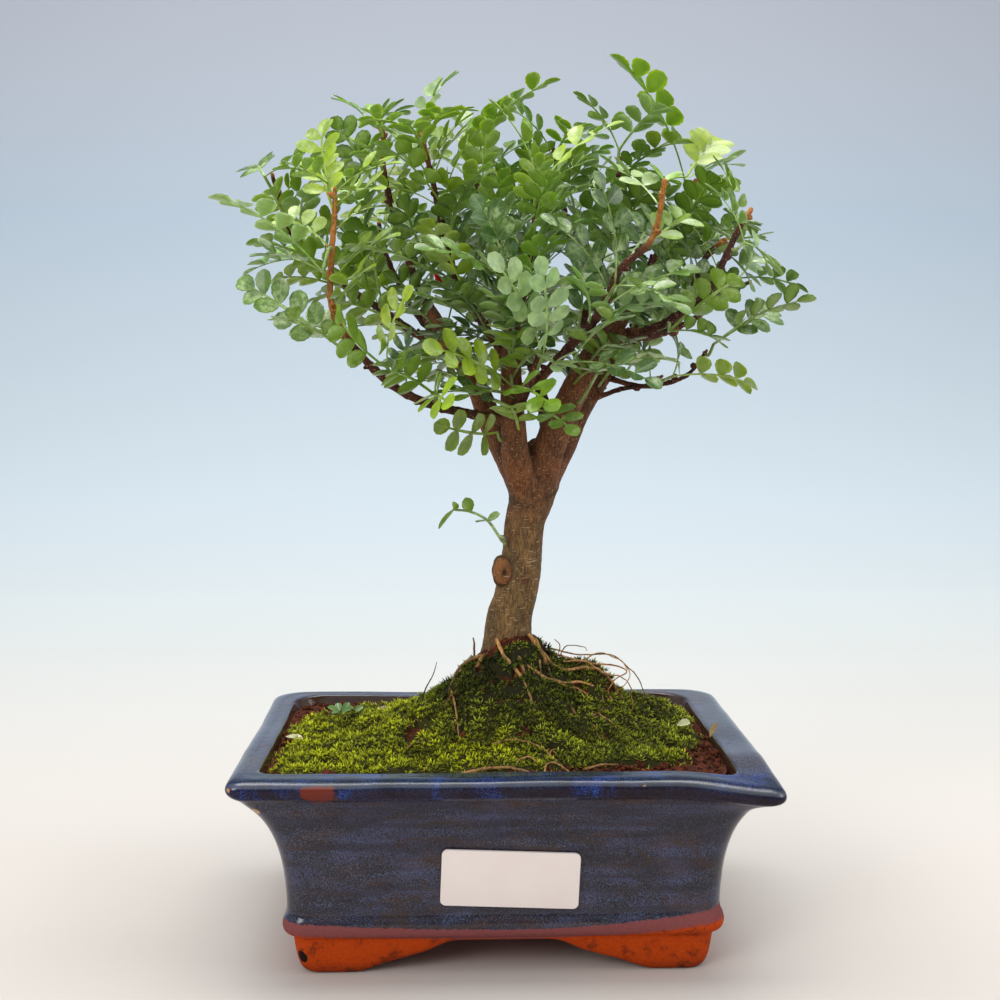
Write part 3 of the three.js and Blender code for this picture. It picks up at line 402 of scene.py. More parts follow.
def warp_pot(points):
    """The four feet, the drooping front right corner of the rim, and the unevenness of a pot made by hand."""
    x, y, z = points.T
    front = np.where(np.abs(y) > 34, arch_height(points, FRONT_ARCH, 0), 0)
    side = np.where(np.abs(x) > 46, arch_height(points, SIDE_ARCH, 1), 0)
    arch = np.maximum(front, side)
    low = z < FLOOR_UNDERSIDE
    z = np.where(low, arch + z / FLOOR_UNDERSIDE * (FLOOR_UNDERSIDE - arch), z)
    corner = smoothstep(x, 45, RIM_HALF[0]) * smoothstep(-y, 30, RIM_HALF[1]) * smoothstep(z, 48, 57)
    bend = smoothstep(z, 14, 30)
    wave = noise_at(points, 0.022, 3.0) * 0.45 + noise_at(points, 0.06, 9.0) * 0.16
    outward = unit(np.column_stack([x, y, np.zeros(len(x))]))
    lip = smoothstep(z, 53, 57)
    edge = noise_at(points, 0.09, 21.0) * 0.22 * lip
    shift = outward * (wave * bend + edge)[:, None]
    shift[:, 0] += corner * WARP_OUT
    shift[:, 1] -= corner * WARP_OUT
    shift[:, 2] -= corner * WARP_DOWN
    shift[:, 2] += lip * (noise_at(points * (1, 1, 0), 0.03, 5.0) * 0.5)
    return np.column_stack([x, y, z]) + shift


def glaze_line(x):
    """Height at which the glaze stops: it runs higher at the right than in the middle."""
    return np.where(x > 0, 14.2 + 5.2 * (np.abs(x) / 62) ** 2, 14.2 + 2.4 * (np.abs(x) / 62) ** 1.6)


def spots(surface, position, places):
    """1 within ragged spots round the given places, and 0 elsewhere."""
    ragged = surface.times(surface.noise(position, 0.9, 3.0, 0.7), 1.4)
    found = 0.0
    for centre, radius in places:
        points = {0: position, 1: place(centre) / MM}
        away = surface.add("VectorMath", points, operation="DISTANCE").outputs["Value"]
        away = surface.math("ADD", away, ragged)
        found = surface.math("MAXIMUM", found, surface.between(away, radius + 0.5, radius + 0.9, 1, 0))
    return found


def wall_glaze(surface, clouds, speckle, flange):
    """Brown and blue glaze in speckled bands, with brown smudges."""
    streaks = surface.noise(surface.position((0.6, 0.6, 1.8)), 0.12, 3.0, 0.6)
    brown = surface.mix(surface.between(streaks, 0.45, 0.7), *GLAZE_BROWN)
    blue = surface.mix(surface.between(clouds, 0.35, 0.6), *GLAZE_BLUE)
    bands = surface.noise(surface.position((0.12, 0.12, 1.6)), 0.2, 2.0)
    bands = surface.math("MAXIMUM", surface.between(bands, 0.4, 0.6, 0.5, 1), flange)
    body = surface.mix(surface.times(speckle, bands), brown, blue)
    smudge = surface.noise(surface.position((1, 1, 1.6)), 0.07, 3.0, 0.6, 1.0)
    return surface.mix(surface.between(smudge, 0.58, 0.7, 0, 0.7), body, SMUDGE)


def lip_glaze(surface, position, body, speckle, flange, cobalt_zone, lip):
    """Cobalt patches on the lip and the front of the rim, and frosty specks on the rim's flat top."""
    patch = surface.between(surface.noise(surface.position((1, 1, 0.3)), 0.085, 4.0), 0.5, 0.62)
    cobalt = surface.mix(speckle, *COBALT)
    dark = surface.mix(surface.times(speckle, 0.3), *DARK_LIP)
    body = surface.mix(lip, body, surface.mix(patch, dark, cobalt))
    navy = surface.mix(surface.times(speckle, 0.6), *NAVY)
    body = surface.mix(cobalt_zone, body, surface.mix(surface.times(patch, 0.8), navy, cobalt))
    frost = surface.between(surface.noise(position, 2.2, 3.0, 0.8), 0.52, 0.62)
    sides = surface.between(cobalt_zone, 0, 1, 0.38, 0.12)
    return surface.mix(surface.times(surface.times(frost, flange), sides), body, FROST)


def rust_mud_and_shade(surface, position, body, speckle, rust, inside):
    """The rusty place on the lip, and the wall inside the rim darkened: partly mud, partly painted shade."""
    ragged = surface.between(surface.noise(position, 0.4, 4.0, 0.7), 0.2, 0.8, -0.45, 0.35)
    rusty = surface.between(surface.math("ADD", rust, ragged), 0.3, 0.75)
    rusty = surface.times(rusty, surface.between(speckle, 0, 1, 1, 0.65))
    body = surface.mix(rusty, body, RUST)
    # Painted shade: the inside wall above the soil is mottled dark brown, partly as mud stain
    mud_and_shade = surface.mix(surface.noise(position, 0.5, 4.0, 0.7), *MUD_AND_SHADE)
    return surface.mix(inside, body, mud_and_shade)


def clay_color(surface, position, grain):
    """Bare clay with stains, dark specks and a darker lower edge."""
    clay = surface.mix(grain, *CLAY)
    stain = surface.between(surface.noise(position, 0.14, 5.0, 0.75), 0.52, 0.64)
    low = surface.between(surface.split(position)["Z"], 0.2, 5.0, 0.35, 0)
    clay = surface.mix(surface.math("ADD", surface.times(stain, 0.6), low), clay, CLAY_STAIN)
    specks = surface.between(surface.cells(position, 0.9), 0.09, 0.14, 1, 0)
    return surface.mix(surface.times(specks, 0.8), clay, CLAY_SPECK)


def glaze_gloss(surface, glazed, brim, facing):
    """Sets the gloss: least on clay, and most on the slope of the rim's edge. Returns the roughness."""
    slope = surface.math("ABSOLUTE", surface.math("SUBTRACT", facing, 0.6))
    off_edge = surface.between(slope, 0.15, 0.35, 0, 1)
    dull = surface.between(surface.times(brim, off_edge), 0, 1, 1, 0.4)
    edge = surface.times(brim, surface.math("SUBTRACT", 1.0, off_edge))
    level = surface.times(dull, surface.between(edge, 0, 1, 1, 2.2))
    level = surface.times(surface.between(glazed, 0, 1, 0.08, 0.42), level)
    surface.tree.links.new(level, surface.shader.inputs["Specular IOR Level"])
    rough = surface.mix(glazed, (0.7, 0.7, 0.7), (0.15, 0.15, 0.15))
    return surface.mix(edge, rough, (0.33, 0.33, 0.33))


def pot_material():
    surface = Surface("pot_glaze")
    position = surface.position()
    above, cobalt_zone = surface.marks()[:2]
    tint = surface.attribute("tint").outputs["Color"]
    lip, inside, rust = surface.add("SeparateColor", {"Color": tint}).outputs
    facing = surface.split(surface.add("TexCoord").outputs["Normal"])["Z"]
    flange = surface.between(facing, 0.8, 0.95)
    clouds = surface.noise(surface.position((1, 1, 2.4)), 0.055, 3.0, 0.55, 0.8)
    dense = surface.between(clouds, 0.35, 0.65, -0.05, 0.05)
    speckle = surface.math("ADD", surface.noise(position, 3.1, 2.0, 0.75), dense)
    speckle = surface.between(speckle, 0.46, 0.63)
    body = wall_glaze(surface, clouds, speckle, flange)
    body = lip_glaze(surface, position, body, speckle, flange, cobalt_zone, lip)
    body = rust_mud_and_shade(surface, position, body, speckle, rust, inside)
    ragged = surface.between(surface.noise(position, 0.5, 4.0, 0.6), 0.2, 0.8, -0.35, 0.35)
    line = surface.math("ADD", above, ragged)
    grain = surface.noise(position, 1.4, 4.0, 0.7)
    mauve = surface.mix(grain, *MAUVE)
    bare = surface.mix(surface.between(line, -4.2, -3.2), clay_color(surface, position, grain), mauve)
    glazed = surface.between(line, -0.25, 0.25)
    color = surface.mix(glazed, bare, body)
    chips = spots(surface, position, CHIPS)
    color = surface.mix(chips, color, CHIPPED)
    # Painted shade: the pit on the foot is not cut; its dark is painted on
    color = surface.mix(spots(surface, position, PIT_SHADE_SPOTS), color, PIT_SHADE)
    rough = glaze_gloss(surface, glazed, surface.math("MAXIMUM", cobalt_zone, lip), facing)
    height = surface.mix(glazed, grain, surface.noise(position, 0.35, 3.0))
    height = surface.mix(chips, height, (0, 0, 0))
    return surface.finish(color, rough, height, 0.22, 0.5)


def drill(piece, x):
    """Cuts a drain hole through the pot's floor."""
    mesh = bpy.data.meshes.new("drill")
    cutter = bmesh.new()
    radius = DRAIN_RADIUS * MM
    bmesh.ops.create_cone(cutter, cap_ends=True, segments=40, radius1=radius, radius2=radius,
                          depth=DRILL_DEPTH * MM)
    cutter.to_mesh(mesh)
    cutter.free()
    tool = bpy.data.objects.new("drill", mesh)
    tool.location = place((x, 0, DRILL_HEIGHT))
    bpy.context.scene.collection.objects.link(tool)
    cut = piece.modifiers.new("drain", "BOOLEAN")
    cut.object = tool
    cut.operation = "DIFFERENCE"
    bpy.context.view_layer.update()
    apply_modifiers(piece)
    bpy.data.objects.remove(tool)


def make_pot():
    outline = [(*row, 0, 0) for row in POT_OUTSIDE] + [(*row, *OPENING) for row in POT_INSIDE]
    rows = cut_corners(outline, 2)
    rings = np.array([pot_ring(row) for row in rows])
    count = rings.shape[1]
    flat = rings.reshape(-1, 3)
    x, y, z = flat.T
    points = warp_pot(flat)
    row_of = np.repeat(np.arange(len(rings)), count)
    highest = int(np.argmax(rows[:, 0]))
    inner = row_of > highest + 4
    outer = row_of < highest
    above = np.where(inner, 20, points[:, 2] - glaze_line(points[:, 0]))
    lip = smoothstep(z, 54.4, 55.4) * (1 - smoothstep(z, 58.6, 59.8)) * (outer & (z > 53))
    front_top = smoothstep(z, 57, 59) * smoothstep(-y, 45, 52) * (z > 56)
    # Inside the rim, above the soil: where the wall gets mud and painted shade
    inside = (1 - smoothstep(z, 59.3, 59.9)) * inner
    left, right = RUST_PATCH
    rust = smoothstep(x, left - 0.6, left) * (1 - smoothstep(x, right, right + 0.6))
    rust = rust * smoothstep(z, 52, 56) * (1 - smoothstep(z, 58.6, 59.4)) * (y < -40) * outer
    marks = np.column_stack([above, front_top, np.zeros(len(z))])
    tint = np.column_stack([lip, inside, rust])
    faces = closed_faces(len(rings), count)
    pot = mesh_object("pot_body", points, faces, pot_material(), ["pot"], tint, marks, 50)
    for x in (-DRAIN_X, DRAIN_X):
        drill(pot, x)


# Label: a thin blank tag on the pot's front wall
LABEL_SIZE = (39.2, 16.6, 0.8)
LABEL_CENTRE = np.array([1.5, -50.25, 29.2])
LABEL_LEAN = math.radians(5)
LABEL_TURN = math.radians(2.3)
LABEL_CORNER = 1.6
LABEL_TONES = ((0.80, 0.70, 0.665), (0.88, 0.80, 0.765))


def make_label():
    length, height, thickness = LABEL_SIZE
    rings = []
    for depth, inset in ((0, 0), (thickness - 0.15, 0), (thickness - 0.04, 0.06), (thickness, 0.2)):
        halves = (length / 2 - inset, height / 2 - inset, LABEL_CORNER - inset)
        ring = np.vstack([corner_arc(corner, *halves, 8) for corner in range(4)])
        rings.append(np.column_stack([ring, np.full(len(ring), depth)]))
    faces = closed_faces(len(rings), len(rings[0]))
    lean = Matrix.Rotation(math.pi / 2 + LABEL_LEAN, 3, "X") @ Matrix.Rotation(-LABEL_TURN, 3, "Z")
    points = np.vstack(rings) @ np.array(lean).T + LABEL_CENTRE
    surface = Surface("label_film", Roughness=0.34)
    position = surface.position()
    color = surface.mix(surface.noise(position, 0.08, 2.0), *LABEL_TONES)
    material = surface.finish(color, height=surface.noise(position, 1.2, 3.0), bump=0.05)
    mesh_object("label_tag", points, faces, material, ["label"], sharp=40)


# Soil and moss
SOIL_LEVEL = 57.2
SOIL_BOTTOM = 15.3
TRUNK_FOOT = np.array([2.0, 0.0])
TRUNK_HOLE = 9.4
# Middle, height and reach of each rise of the soil
RISES = ((2, 0, 25, 26), (30, 4, 13.5, 11), (48, 14, 7.5, 10.5), (5, -2, 13, 11), (-38, -20, 2, 14),
         (-20, 20, 2, 13))
OPENING_HALF = (66.9, 50.1)
# A direction that no branch and no slope points in, to build frames from
UNALIGNED = np.array([0.3, 0.9, 0.31])
SOIL_DARK = ((0.012, 0.005, 0.002), (0.055, 0.011, 0.004))
SOIL_LIGHT = (0.21, 0.045, 0.014)
SOIL_SPECK = (0.22, 0.13, 0.08)
SOIL_COLUMNS = 330
SOIL_ROWS = 96
# Height and half widths of the soil's own rings along the pot's wall
SOIL_WALL = [(SOIL_BOTTOM, (54.2, 40.8)), (50, (61.3, 46.8)), (55.2, (65.6, 49))]
CRUMBS = 2600


def soil_height(x, y):
    z = np.full(np.shape(x), SOIL_LEVEL)
    for middle_x, middle_y, height, reach in RISES:
        z = z + height * np.exp(-((x - middle_x) ** 2 + (y - middle_y) ** 2) / reach ** 2)
    return z


def wall_points(angles, halves):
    """Places on the pot's wall in each direction, on a rectangle with round corners."""
    direction = np.column_stack([np.cos(angles), np.sin(angles)])
    power = 12
    scale = (np.abs(direction / halves) ** power).sum(axis=1) ** (-1 / power)
    return np.array(OPENING) + direction * scale[:, None]


def ground_points(angles, shares, halves=OPENING_HALF):
    """Places on the soil, from share 0 at the trunk to share 1 at the pot's wall."""
    wall = wall_points(angles, halves)
    hole = TRUNK_FOOT + unit(wall - TRUNK_FOOT) * TRUNK_HOLE
    return hole + (wall - hole) * np.asarray(shares)[..., None]


def soil_material():
    surface = Surface("soil_grains", Roughness=0.9, Specular_IOR_Level=0.2)
    position = surface.position()
    grain = surface.noise(position, 0.9, 4.0, 0.7)
    patch = surface.noise(position, 0.08, 2.0)
    color = surface.mix(surface.between(grain, 0.42, 0.72), surface.mix(patch, *SOIL_DARK), SOIL_LIGHT)
    pale = surface.between(surface.noise(position, 2.3, 1.0), 0.68, 0.74)
    color = surface.mix(surface.times(pale, 0.5), color, SOIL_SPECK)
    return surface.finish(color, height=grain, bump=0.5, distance=0.5)


def make_soil():
    """A closed body that fills the pot and has a lumpy top."""
    count = SOIL_COLUMNS
    angles = np.arange(count) / count * 2 * np.pi
    rings = []
    for z, halves in SOIL_WALL:
        rings.append(np.column_stack([wall_points(angles, halves), np.full(count, z)]))
    for share in np.concatenate([np.linspace(1, 0, SOIL_ROWS), [-0.04, -0.09]]):
        flat = ground_points(angles, np.full(count, share))
        rings.append(np.column_stack([flat, soil_height(*flat.T)]))
    points = np.array(rings).reshape(-1, 3)
    top = np.arange(len(points)) >= len(SOIL_WALL) * count
    lumps = noise_at(points[top], 0.45, 4.0) * 0.6 + noise_at(points[top], 1.1, 8.0) * 0.42
    points[top, 2] += lumps
    mesh_object("soil_bed", points, closed_faces(len(rings), count), SOIL, ["soil"])


def make_crumbs():
    """Loose soil crumbs on the bare places and between the moss."""
    random = np.random.RandomState(11)
    ball = bmesh.new()
    bmesh.ops.create_icosphere(ball, subdivisions=1, radius=1.0)
    shape = np.array([vert.co[:] for vert in ball.verts])
    triangles = np.array([[vert.index for vert in face.verts] for face in ball.faces])
    ball.free()
    angles = random.uniform(0, 2 * np.pi, CRUMBS)
    shares = np.sqrt(random.uniform(0.04, 1, CRUMBS)) * 0.985
    places = ground_points(angles, shares)
    kept = (shares > carpet_edge(angles) - 0.04) | (random.uniform(size=CRUMBS) < 0.16)
    places = places[kept]
    heights = soil_height(*places.T) + 0.5
    centres = np.column_stack([places, heights])
    sizes = random.gamma(3.0, 0.17, len(centres)) + 0.22
    points = []
    faces = []
    for centre, size_mm in zip(centres, sizes):
        lump = shape * size_mm * random.uniform(0.65, 1.15, (len(shape), 1)) * random.uniform(0.7, 1.2, 3)
        faces.append(triangles + len(points) * len(shape))
        points.append(lump + centre)
    mesh_object("soil_crumbs", np.vstack(points), np.vstack(faces), SOIL)


def carpet_edge(angles):
    """How far the bright moss reaches towards the wall in each direction."""
    degrees = np.degrees(angles) % 360
    reach = np.full(np.shape(angles), 0.94)
    for middle, width, depth in ((318, 26, 0.2), (40, 18, 0.12), (143, 14, 0.22), (225, 32, -0.03)):
        turn = np.abs((degrees - middle + 540) % 360 - 180)
        reach = reach - depth * np.exp(-((turn / width) ** 2))
    ragged = noise_at(np.column_stack([np.cos(angles) * 60, np.sin(angles) * 60, 0 * angles]), 0.12, 2.0)
    return np.minimum(reach + 0.03 + 0.08 * ragged, 0.995)


def mound_edge(angles):
    return 0.27 + 0.02 * np.sin(2 * angles + 1) + 0.012 * np.sin(5 * angles)


BARE_MOSS = -0.3
CLUMP_RADIUS = 2.0
TUFT_TRIES = 60000
SKIN_COLUMNS = 260
SKIN_ROWS = 58
SKIN_ROWS_BELOW = 6
BRIGHT_MOSS = np.array([0.52, 0.58, 0.015])
MID_MOSS = np.array([0.27, 0.32, 0.026])
MOSS_IN_SHADE = np.array([0.09, 0.13, 0.011])
MOSS_GAP_SHADE = np.array([0.014, 0.010, 0.004])


def on_plane(places):
    return np.column_stack([places, np.zeros(len(places))])


def moss_cover(places):
    """How thick the moss grows at each place: it is bare below BARE_MOSS."""
    flat = on_plane(places)
    return noise_at(flat, 0.13, 31.0) + 0.6 * noise_at(flat, 0.4, 17.0)


def moss_height(places, share, edge, inner):
    """Top of the moss above the soil: cushions that sink into the soil at both edges and on bare places."""
    flat = on_plane(places)
    cushion = 1.4 + 1.9 * noise_at(flat, 0.11, 6.0) + 0.7 * noise_at(flat, 0.3, 1.0)
    taper = smoothstep(edge - share, 0, 0.05) * smoothstep(share - inner, -0.01, 0.03)
    grown = smoothstep(moss_cover(places), BARE_MOSS - 0.12, BARE_MOSS + 0.16)
    return -1.0 + (1.3 + np.maximum(cushion, 0.2)) * taper * grown


def moss_material(name):
    surface = Surface(name, Roughness=0.8, Specular_IOR_Level=0.2)
    tint = surface.attribute("tint").outputs["Color"]
    fine = surface.noise(surface.position(), 1.3, 3.0, 0.7)
    color = surface.mix(surface.between(fine, 0.3, 0.7), (0.62, 0.62, 0.62), (1.25, 1.2, 1.0))
    return surface.finish(surface.mix(1.0, tint, color, "MULTIPLY"), height=fine, bump=0.4, distance=0.3)


def moss_tone(places, random, mound):
    """Colour of the moss by place: brightest at the front on the left, and darkest near the trunk, with
    painted shade under the tree.
    """
    flat = on_plane(places)
    patch = noise_at(flat, 0.07, 12.0) + 0.5 * noise_at(flat, 0.25, 3.0)
    bright = smoothstep(patch - places[:, 0] / 90 - places[:, 1] / 110, -0.2, 0.9)
    bright = np.clip(bright + random.normal(0, 0.13, len(places)), 0, 1)[:, None]
    tone = MID_MOSS * (1 - bright) + BRIGHT_MOSS * bright
    away = np.linalg.norm(places - TRUNK_FOOT, axis=1)
    # Painted shade: the moss turns darker towards the trunk, most on the mound
    shade = 1 - smoothstep(away, 14 if mound else 10, 34)
    shade = np.clip(shade * (0.9 if mound else 0.5) + random.normal(0, 0.1, len(places)), 0, 1)[:, None]
    return tone * (1 - shade) + MOSS_IN_SHADE * shade


def moss_skin(name, node, edge, inner, material, random):
    """The ground of the moss that its tufts stand on: one closed skin that reaches into the soil, coloured
    near black as painted shade in the gaps between the tufts.
    """
    count = SKIN_COLUMNS
    angles = np.arange(count) / count * 2 * np.pi
    outer = edge(angles)
    rings = []
    for share in np.linspace(0, 1, SKIN_ROWS_BELOW):
        at = inner + (outer - inner) * share
        flat = ground_points(angles, at)
        rings.append(np.column_stack([flat, soil_height(*flat.T) - 1.2]))
    for share in np.linspace(0, 1, SKIN_ROWS)[::-1]:
        at = inner + (outer - inner) * share
        flat = ground_points(angles, at)
        rings.append(np.column_stack([flat, soil_height(*flat.T) + moss_height(flat, at, outer, inner)]))
    points = np.array(rings).reshape(-1, 3)
    # Painted shade: the skin takes almost only the near-black gap colour, so the ground between the tufts
    # looks shaded
    tone = moss_tone(points[:, :2], random, node == "moss_on_mound") * 0.05 + MOSS_GAP_SHADE * 0.95
    faces = [face[::-1] for face in ring_faces(len(rings), count, closed=True)]
    mesh_object(name, points, faces, material, [node], tint=tone)


def spaced_places(edge, inner, gap, random):
    """Places in the moss at least the gap apart, each with its share of the way out and the edge there."""
    angles = random.uniform(0, 2 * np.pi, TUFT_TRIES)
    outer = edge(angles)
    shares = inner + (outer - inner) * np.sqrt(random.uniform(0, 1, TUFT_TRIES))
    places = ground_points(angles, shares)
    cover = moss_cover(places)
    cells = {}
    kept = []
    for i, (x, y) in enumerate(places):
        if cover[i] < BARE_MOSS + 0.25 * random.uniform():
            continue
        cell = (math.floor(x / gap), math.floor(y / gap))
        near = (cells.get((cell[0] + dx, cell[1] + dy)) for dx in (-1, 0, 1) for dy in (-1, 0, 1))
        if all(j is None or math.dist(places[j], (x, y)) > gap for j in near):
            cells[cell] = i
            kept.append(i)
    kept = np.array(kept)
    return places[kept], shares[kept], outer[kept]


def soil_normal(places):
    level = soil_height(*places.T)
    slope = np.column_stack([(soil_height(places[:, 0] + 0.5, places[:, 1]) - level) * 2,
                             (soil_height(places[:, 0], places[:, 1] + 0.5) - level) * 2])
    return unit(np.column_stack([-slope, np.ones(len(places))]))


def tuft_tones_with_hollow_shade(places, random, mound):
    flat = on_plane(places)
    swell = noise_at(flat, 0.11, 6.0) + 0.35 * noise_at(flat, 0.3, 1.0)
    tone = moss_tone(places, random, mound) * random.uniform(0.6, 1.5, (len(places), 1))
    # Painted shade: tufts in the hollows between the moss's cushions are darker, and those on top of them
    # lighter
    return tone * (0.45 + 0.95 * smoothstep(swell, -0.45, 0.35))[:, None]


def tufts(name, edge, inner, material, seed, gap, blades, mound):
    """Small clumps of moss, each a dome of pointed closed blades, spread over the moss."""
    random = np.random.RandomState(seed)
    places, shares, outer = spaced_places(edge, inner, gap, random)
    z = soil_height(*places.T) + moss_height(places, shares, outer, inner)
    tone = tuft_tones_with_hollow_shade(places, random, mound)
    normal = soil_normal(places).repeat(blades, axis=0)
    heart = np.column_stack([places, z - 0.5]).repeat(blades, axis=0)
    swell = random.uniform(0.75, 1.25, len(places)).repeat(blades)[:, None]
    tone = tone.repeat(blades, axis=0) * random.uniform(0.7, 1.3, (len(heart), 1))
    golden = np.pi * (3 - math.sqrt(5))
    order = np.tile(np.arange(blades), len(places))
    turn = order * golden + random.normal(0, 0.35, len(heart))
    lean = np.arccos(1 - 0.92 * (order + 0.5) / blades) + random.normal(0, 0.12, len(heart))
    side = unit(np.cross(normal, UNALIGNED))
    other = np.cross(normal, side)
    level = side * np.cos(turn)[:, None] + other * np.sin(turn)[:, None]
    outward = level * np.sin(lean)[:, None] + normal * np.cos(lean)[:, None]
    root = heart + outward * (CLUMP_RADIUS * 0.45) * swell
    direction = unit(outward + random.normal(0, 0.22, outward.shape))
    across = unit(np.cross(direction, normal + level * 0.01)) * random.uniform(0.24, 0.38, (len(root), 1))
    length = random.uniform(0.75, 1.25, (len(root), 1)) * CLUMP_RADIUS * 0.75 * swell
    thick = np.cross(unit(across), direction) * 0.13
    points = np.stack([root - across, root + across, root + thick, root + direction * length], axis=1)
    shape = np.array([(0, 1, 3), (1, 2, 3), (2, 0, 3), (0, 2, 1)])
    faces = (np.arange(len(root)) * 4)[:, None, None] + shape
    # The blades are dark at the root and bright at the tip: partly the moss's own darker lower parts, partly
    # painted shade deep in each clump
    tint = np.repeat(tone * 0.3, 4, axis=0)
    tint[3::4] *= 4.4
    mesh_object(name, points.reshape(-1, 3), faces.reshape(-1, 3), material, tint=tint)


def make_moss():
    random = np.random.RandomState(5)
    carpet = moss_material("moss_carpet_green")
    mound = moss_material("moss_mound_green")
    moss_skin("moss_carpet_skin", "moss_carpet", carpet_edge, 0.24, carpet, random)
    moss_skin("moss_mound_skin", "moss_on_mound", mound_edge, -0.01, mound, random)
    tufts("moss_carpet_tufts", carpet_edge, 0.25, carpet, 21, 1.95, 17, False)
    tufts("moss_mound_tufts", mound_edge, 0.0, mound, 22, 1.9, 17, True)


# Wood: each branch's centre line, and its radii from the first point to the last
WOOD = {
    "trunk": ([(2, 0, 55), (2, 0, 78), (2, 0, 84), (3, 0, 95), (5, 0, 102), (6, 0, 109), (7, 0, 117),
               (8, 0, 126), (10, 0, 133), (11, 1, 140), (12, 1, 147)],
              (8.7, 8.7, 7.9, 7, 6.6, 6.6, 6.2, 6.3, 6.9, 7.4, 5)),
    "frontLimb": ([(9, -1, 132), (5, -6, 145), (4, -10, 156), (3, -14, 170), (3, -16, 182)], (5, 2.6)),
    "leftLimb": ([(8, 2, 134), (2, 5, 147), (-3, 8, 158), (-7, 12, 168), (-14, 17, 179), (-23, 25, 194)],
                 (4.6, 2.4)),
    "rightLimb": ([(11, 0, 134), (17, -4, 154), (23, -7, 167), (30, -9, 180), (36, -11, 188)], (5.6, 3)),
    "backLimb": ([(13, 3, 136), (21, 9, 150), (26, 13, 160), (33, 18, 170), (39, 22, 180)], (4.6, 2.4)),
    "longLeft": ([(4, -9, 157), (-6, -14, 159), (-19, -24, 162), (-30, -31, 167), (-39, -35, 175),
                  (-46, -35, 184), (-49, -33, 192), (-49, -31, 204), (-48, -29, 218), (-48, -28, 224)],
                 (2, 0.9)),
    "tallLeft": ([(-22, 24, 190), (-30, 24, 212), (-33, 20, 222), (-36, 14, 235), (-36, 12, 245),
                  (-37, 10, 250)], (1.7, 0.9)),
    "tallFront": ([(3, -14, 174), (-6, -7, 188), (-12, 2, 198), (-16, -2, 210), (-20, -5, 228),
                   (-24, -6, 245)], (1.9, 0.9)),
    "farLeft": ([(-16, 19, 182), (-25, 21, 184), (-35, 22, 191), (-43, 20, 196), (-54, 18, 203),
                 (-63, 14, 212), (-67, 10, 221), (-70, 6, 233)], (1.8, 0.8)),
    "middle": ([(3, -16, 180), (1, -8, 198), (-3, 2, 216), (-7, 10, 232), (-8, 12, 241)], (1.8, 0.8)),
    "middleFront": ([(3, -16, 181), (6, -21, 196), (9, -21, 210), (10, -17, 224)], (1.7, 0.8)),
    "middleBack": ([(3, -15, 178), (7, 0, 194), (12, 12, 207), (16, 20, 219), (13, 24, 228)], (1.6, 0.8)),
    "backTall": ([(38, 21, 177), (33, 24, 196), (24, 26, 215), (21, 29, 232), (18, 30, 247)], (1.9, 0.8)),
    "rightTall": ([(29, -9, 178), (26, -2, 187), (29, 3, 197), (33, 8, 212), (37, 12, 228), (39, 14, 240)],
                  (1.7, 0.8)),
    "frontRight": ([(4, -13, 166), (11, -20, 170), (21, -30, 181), (25, -33, 185), (29, -36, 192),
                    (33, -39, 201), (40, -40, 207), (43, -40, 213), (45, -40, 225)], (2, 1)),
    "right": ([(34, -11, 184), (42, -15, 184), (51, -19, 188), (61, -21, 196), (66, -21, 206),
               (71, -20, 216), (74, -18, 220)], (1.9, 1)),
    "lowRight": ([(34, -10, 182), (46, -4, 183), (55, 2, 186), (63, 6, 190), (74, 10, 198), (80, 12, 201)],
                 (1.5, 0.8)),
    "rightStub": ([(54, 1, 185), (60, 6, 196), (64, 10, 206), (68, 12, 211), (72, 14, 214)], (1.4, 1.2)),
    "upperRight": ([(35, -11, 185), (46, 0, 204), (53, 9, 214), (61, 18, 227), (64, 22, 234)], (1.8, 0.9)),
    "lowTwig": ([(28, 14, 163), (39, 10, 167), (46, 6, 168), (51, 4, 171)], (1.1, 0.7)),
    "rightTwig": ([(34, 18, 171), (45, 14, 168), (54, 10, 169), (60, 6, 172), (65, 4, 179)], (1.2, 0.7)),
    "backLeft": ([(-9, 13, 171), (-18, 25, 182), (-28, 34, 194), (-36, 39, 210), (-39, 40, 222)], (2, 0.8)),
    "backRight": ([(30, 16, 165), (40, 27, 178), (49, 33, 192), (55, 36, 208), (56, 36, 220)], (2, 0.8)),
    "backMiddle": ([(16, 6, 142), (14, 20, 166), (8, 31, 184), (3, 39, 202), (1, 41, 218)], (3, 0.8)),
}
LIMBS = ("trunk", "frontLimb", "leftLimb", "rightLimb", "backLimb")
WOOD_STEP = 14
TRUNK_STEPS = 13
SCAR = np.array([0.4, -4.6, 111.0])
TRUNK_BARK = np.array([0.165, 0.10, 0.042])
LIMB_BARK = np.array([0.155, 0.064, 0.027])
TWIG_BARK = np.array([0.066, 0.021, 0.013])
TAN_BARK = np.array([0.36, 0.15, 0.03])
ROOT_BARK = np.array([0.34, 0.19, 0.075])
WOOD_VOXEL = 0.58
RED_PATCH = (0.085, 0.020, 0.010)
PALE_DASH = (0.42, 0.30, 0.17)
CUT_WOOD = (0.36, 0.11, 0.025)
# Radius of the branches as a share of the part's
TWIG_SHARE = 0.74
# Share of a branch's end that is dry and tan where it was cut back
TAN_SHARE = {"longLeft": 0.42, "frontRight": 0.2, "right": 0.07, "tallLeft": 0.33, "upperRight": 0.1,
             "rightStub": 0.15, "tallFront": 0.06}
# Radius of the thick roots as a share of the part's
ROOT_SHARE = 0.62
# Thick roots over the mound: direction in degrees, how far towards the wall, sideways bend, radius
SURFACE_ROOTS = ((285, 0.3, 12, 1.1), (335, 0.42, -10, 0.9), (10, 0.5, 14, 0.8), (225, 0.24, -14, 0.8),
                 (150, 0.26, 12, 0.9), (80, 0.32, -12, 1.0))


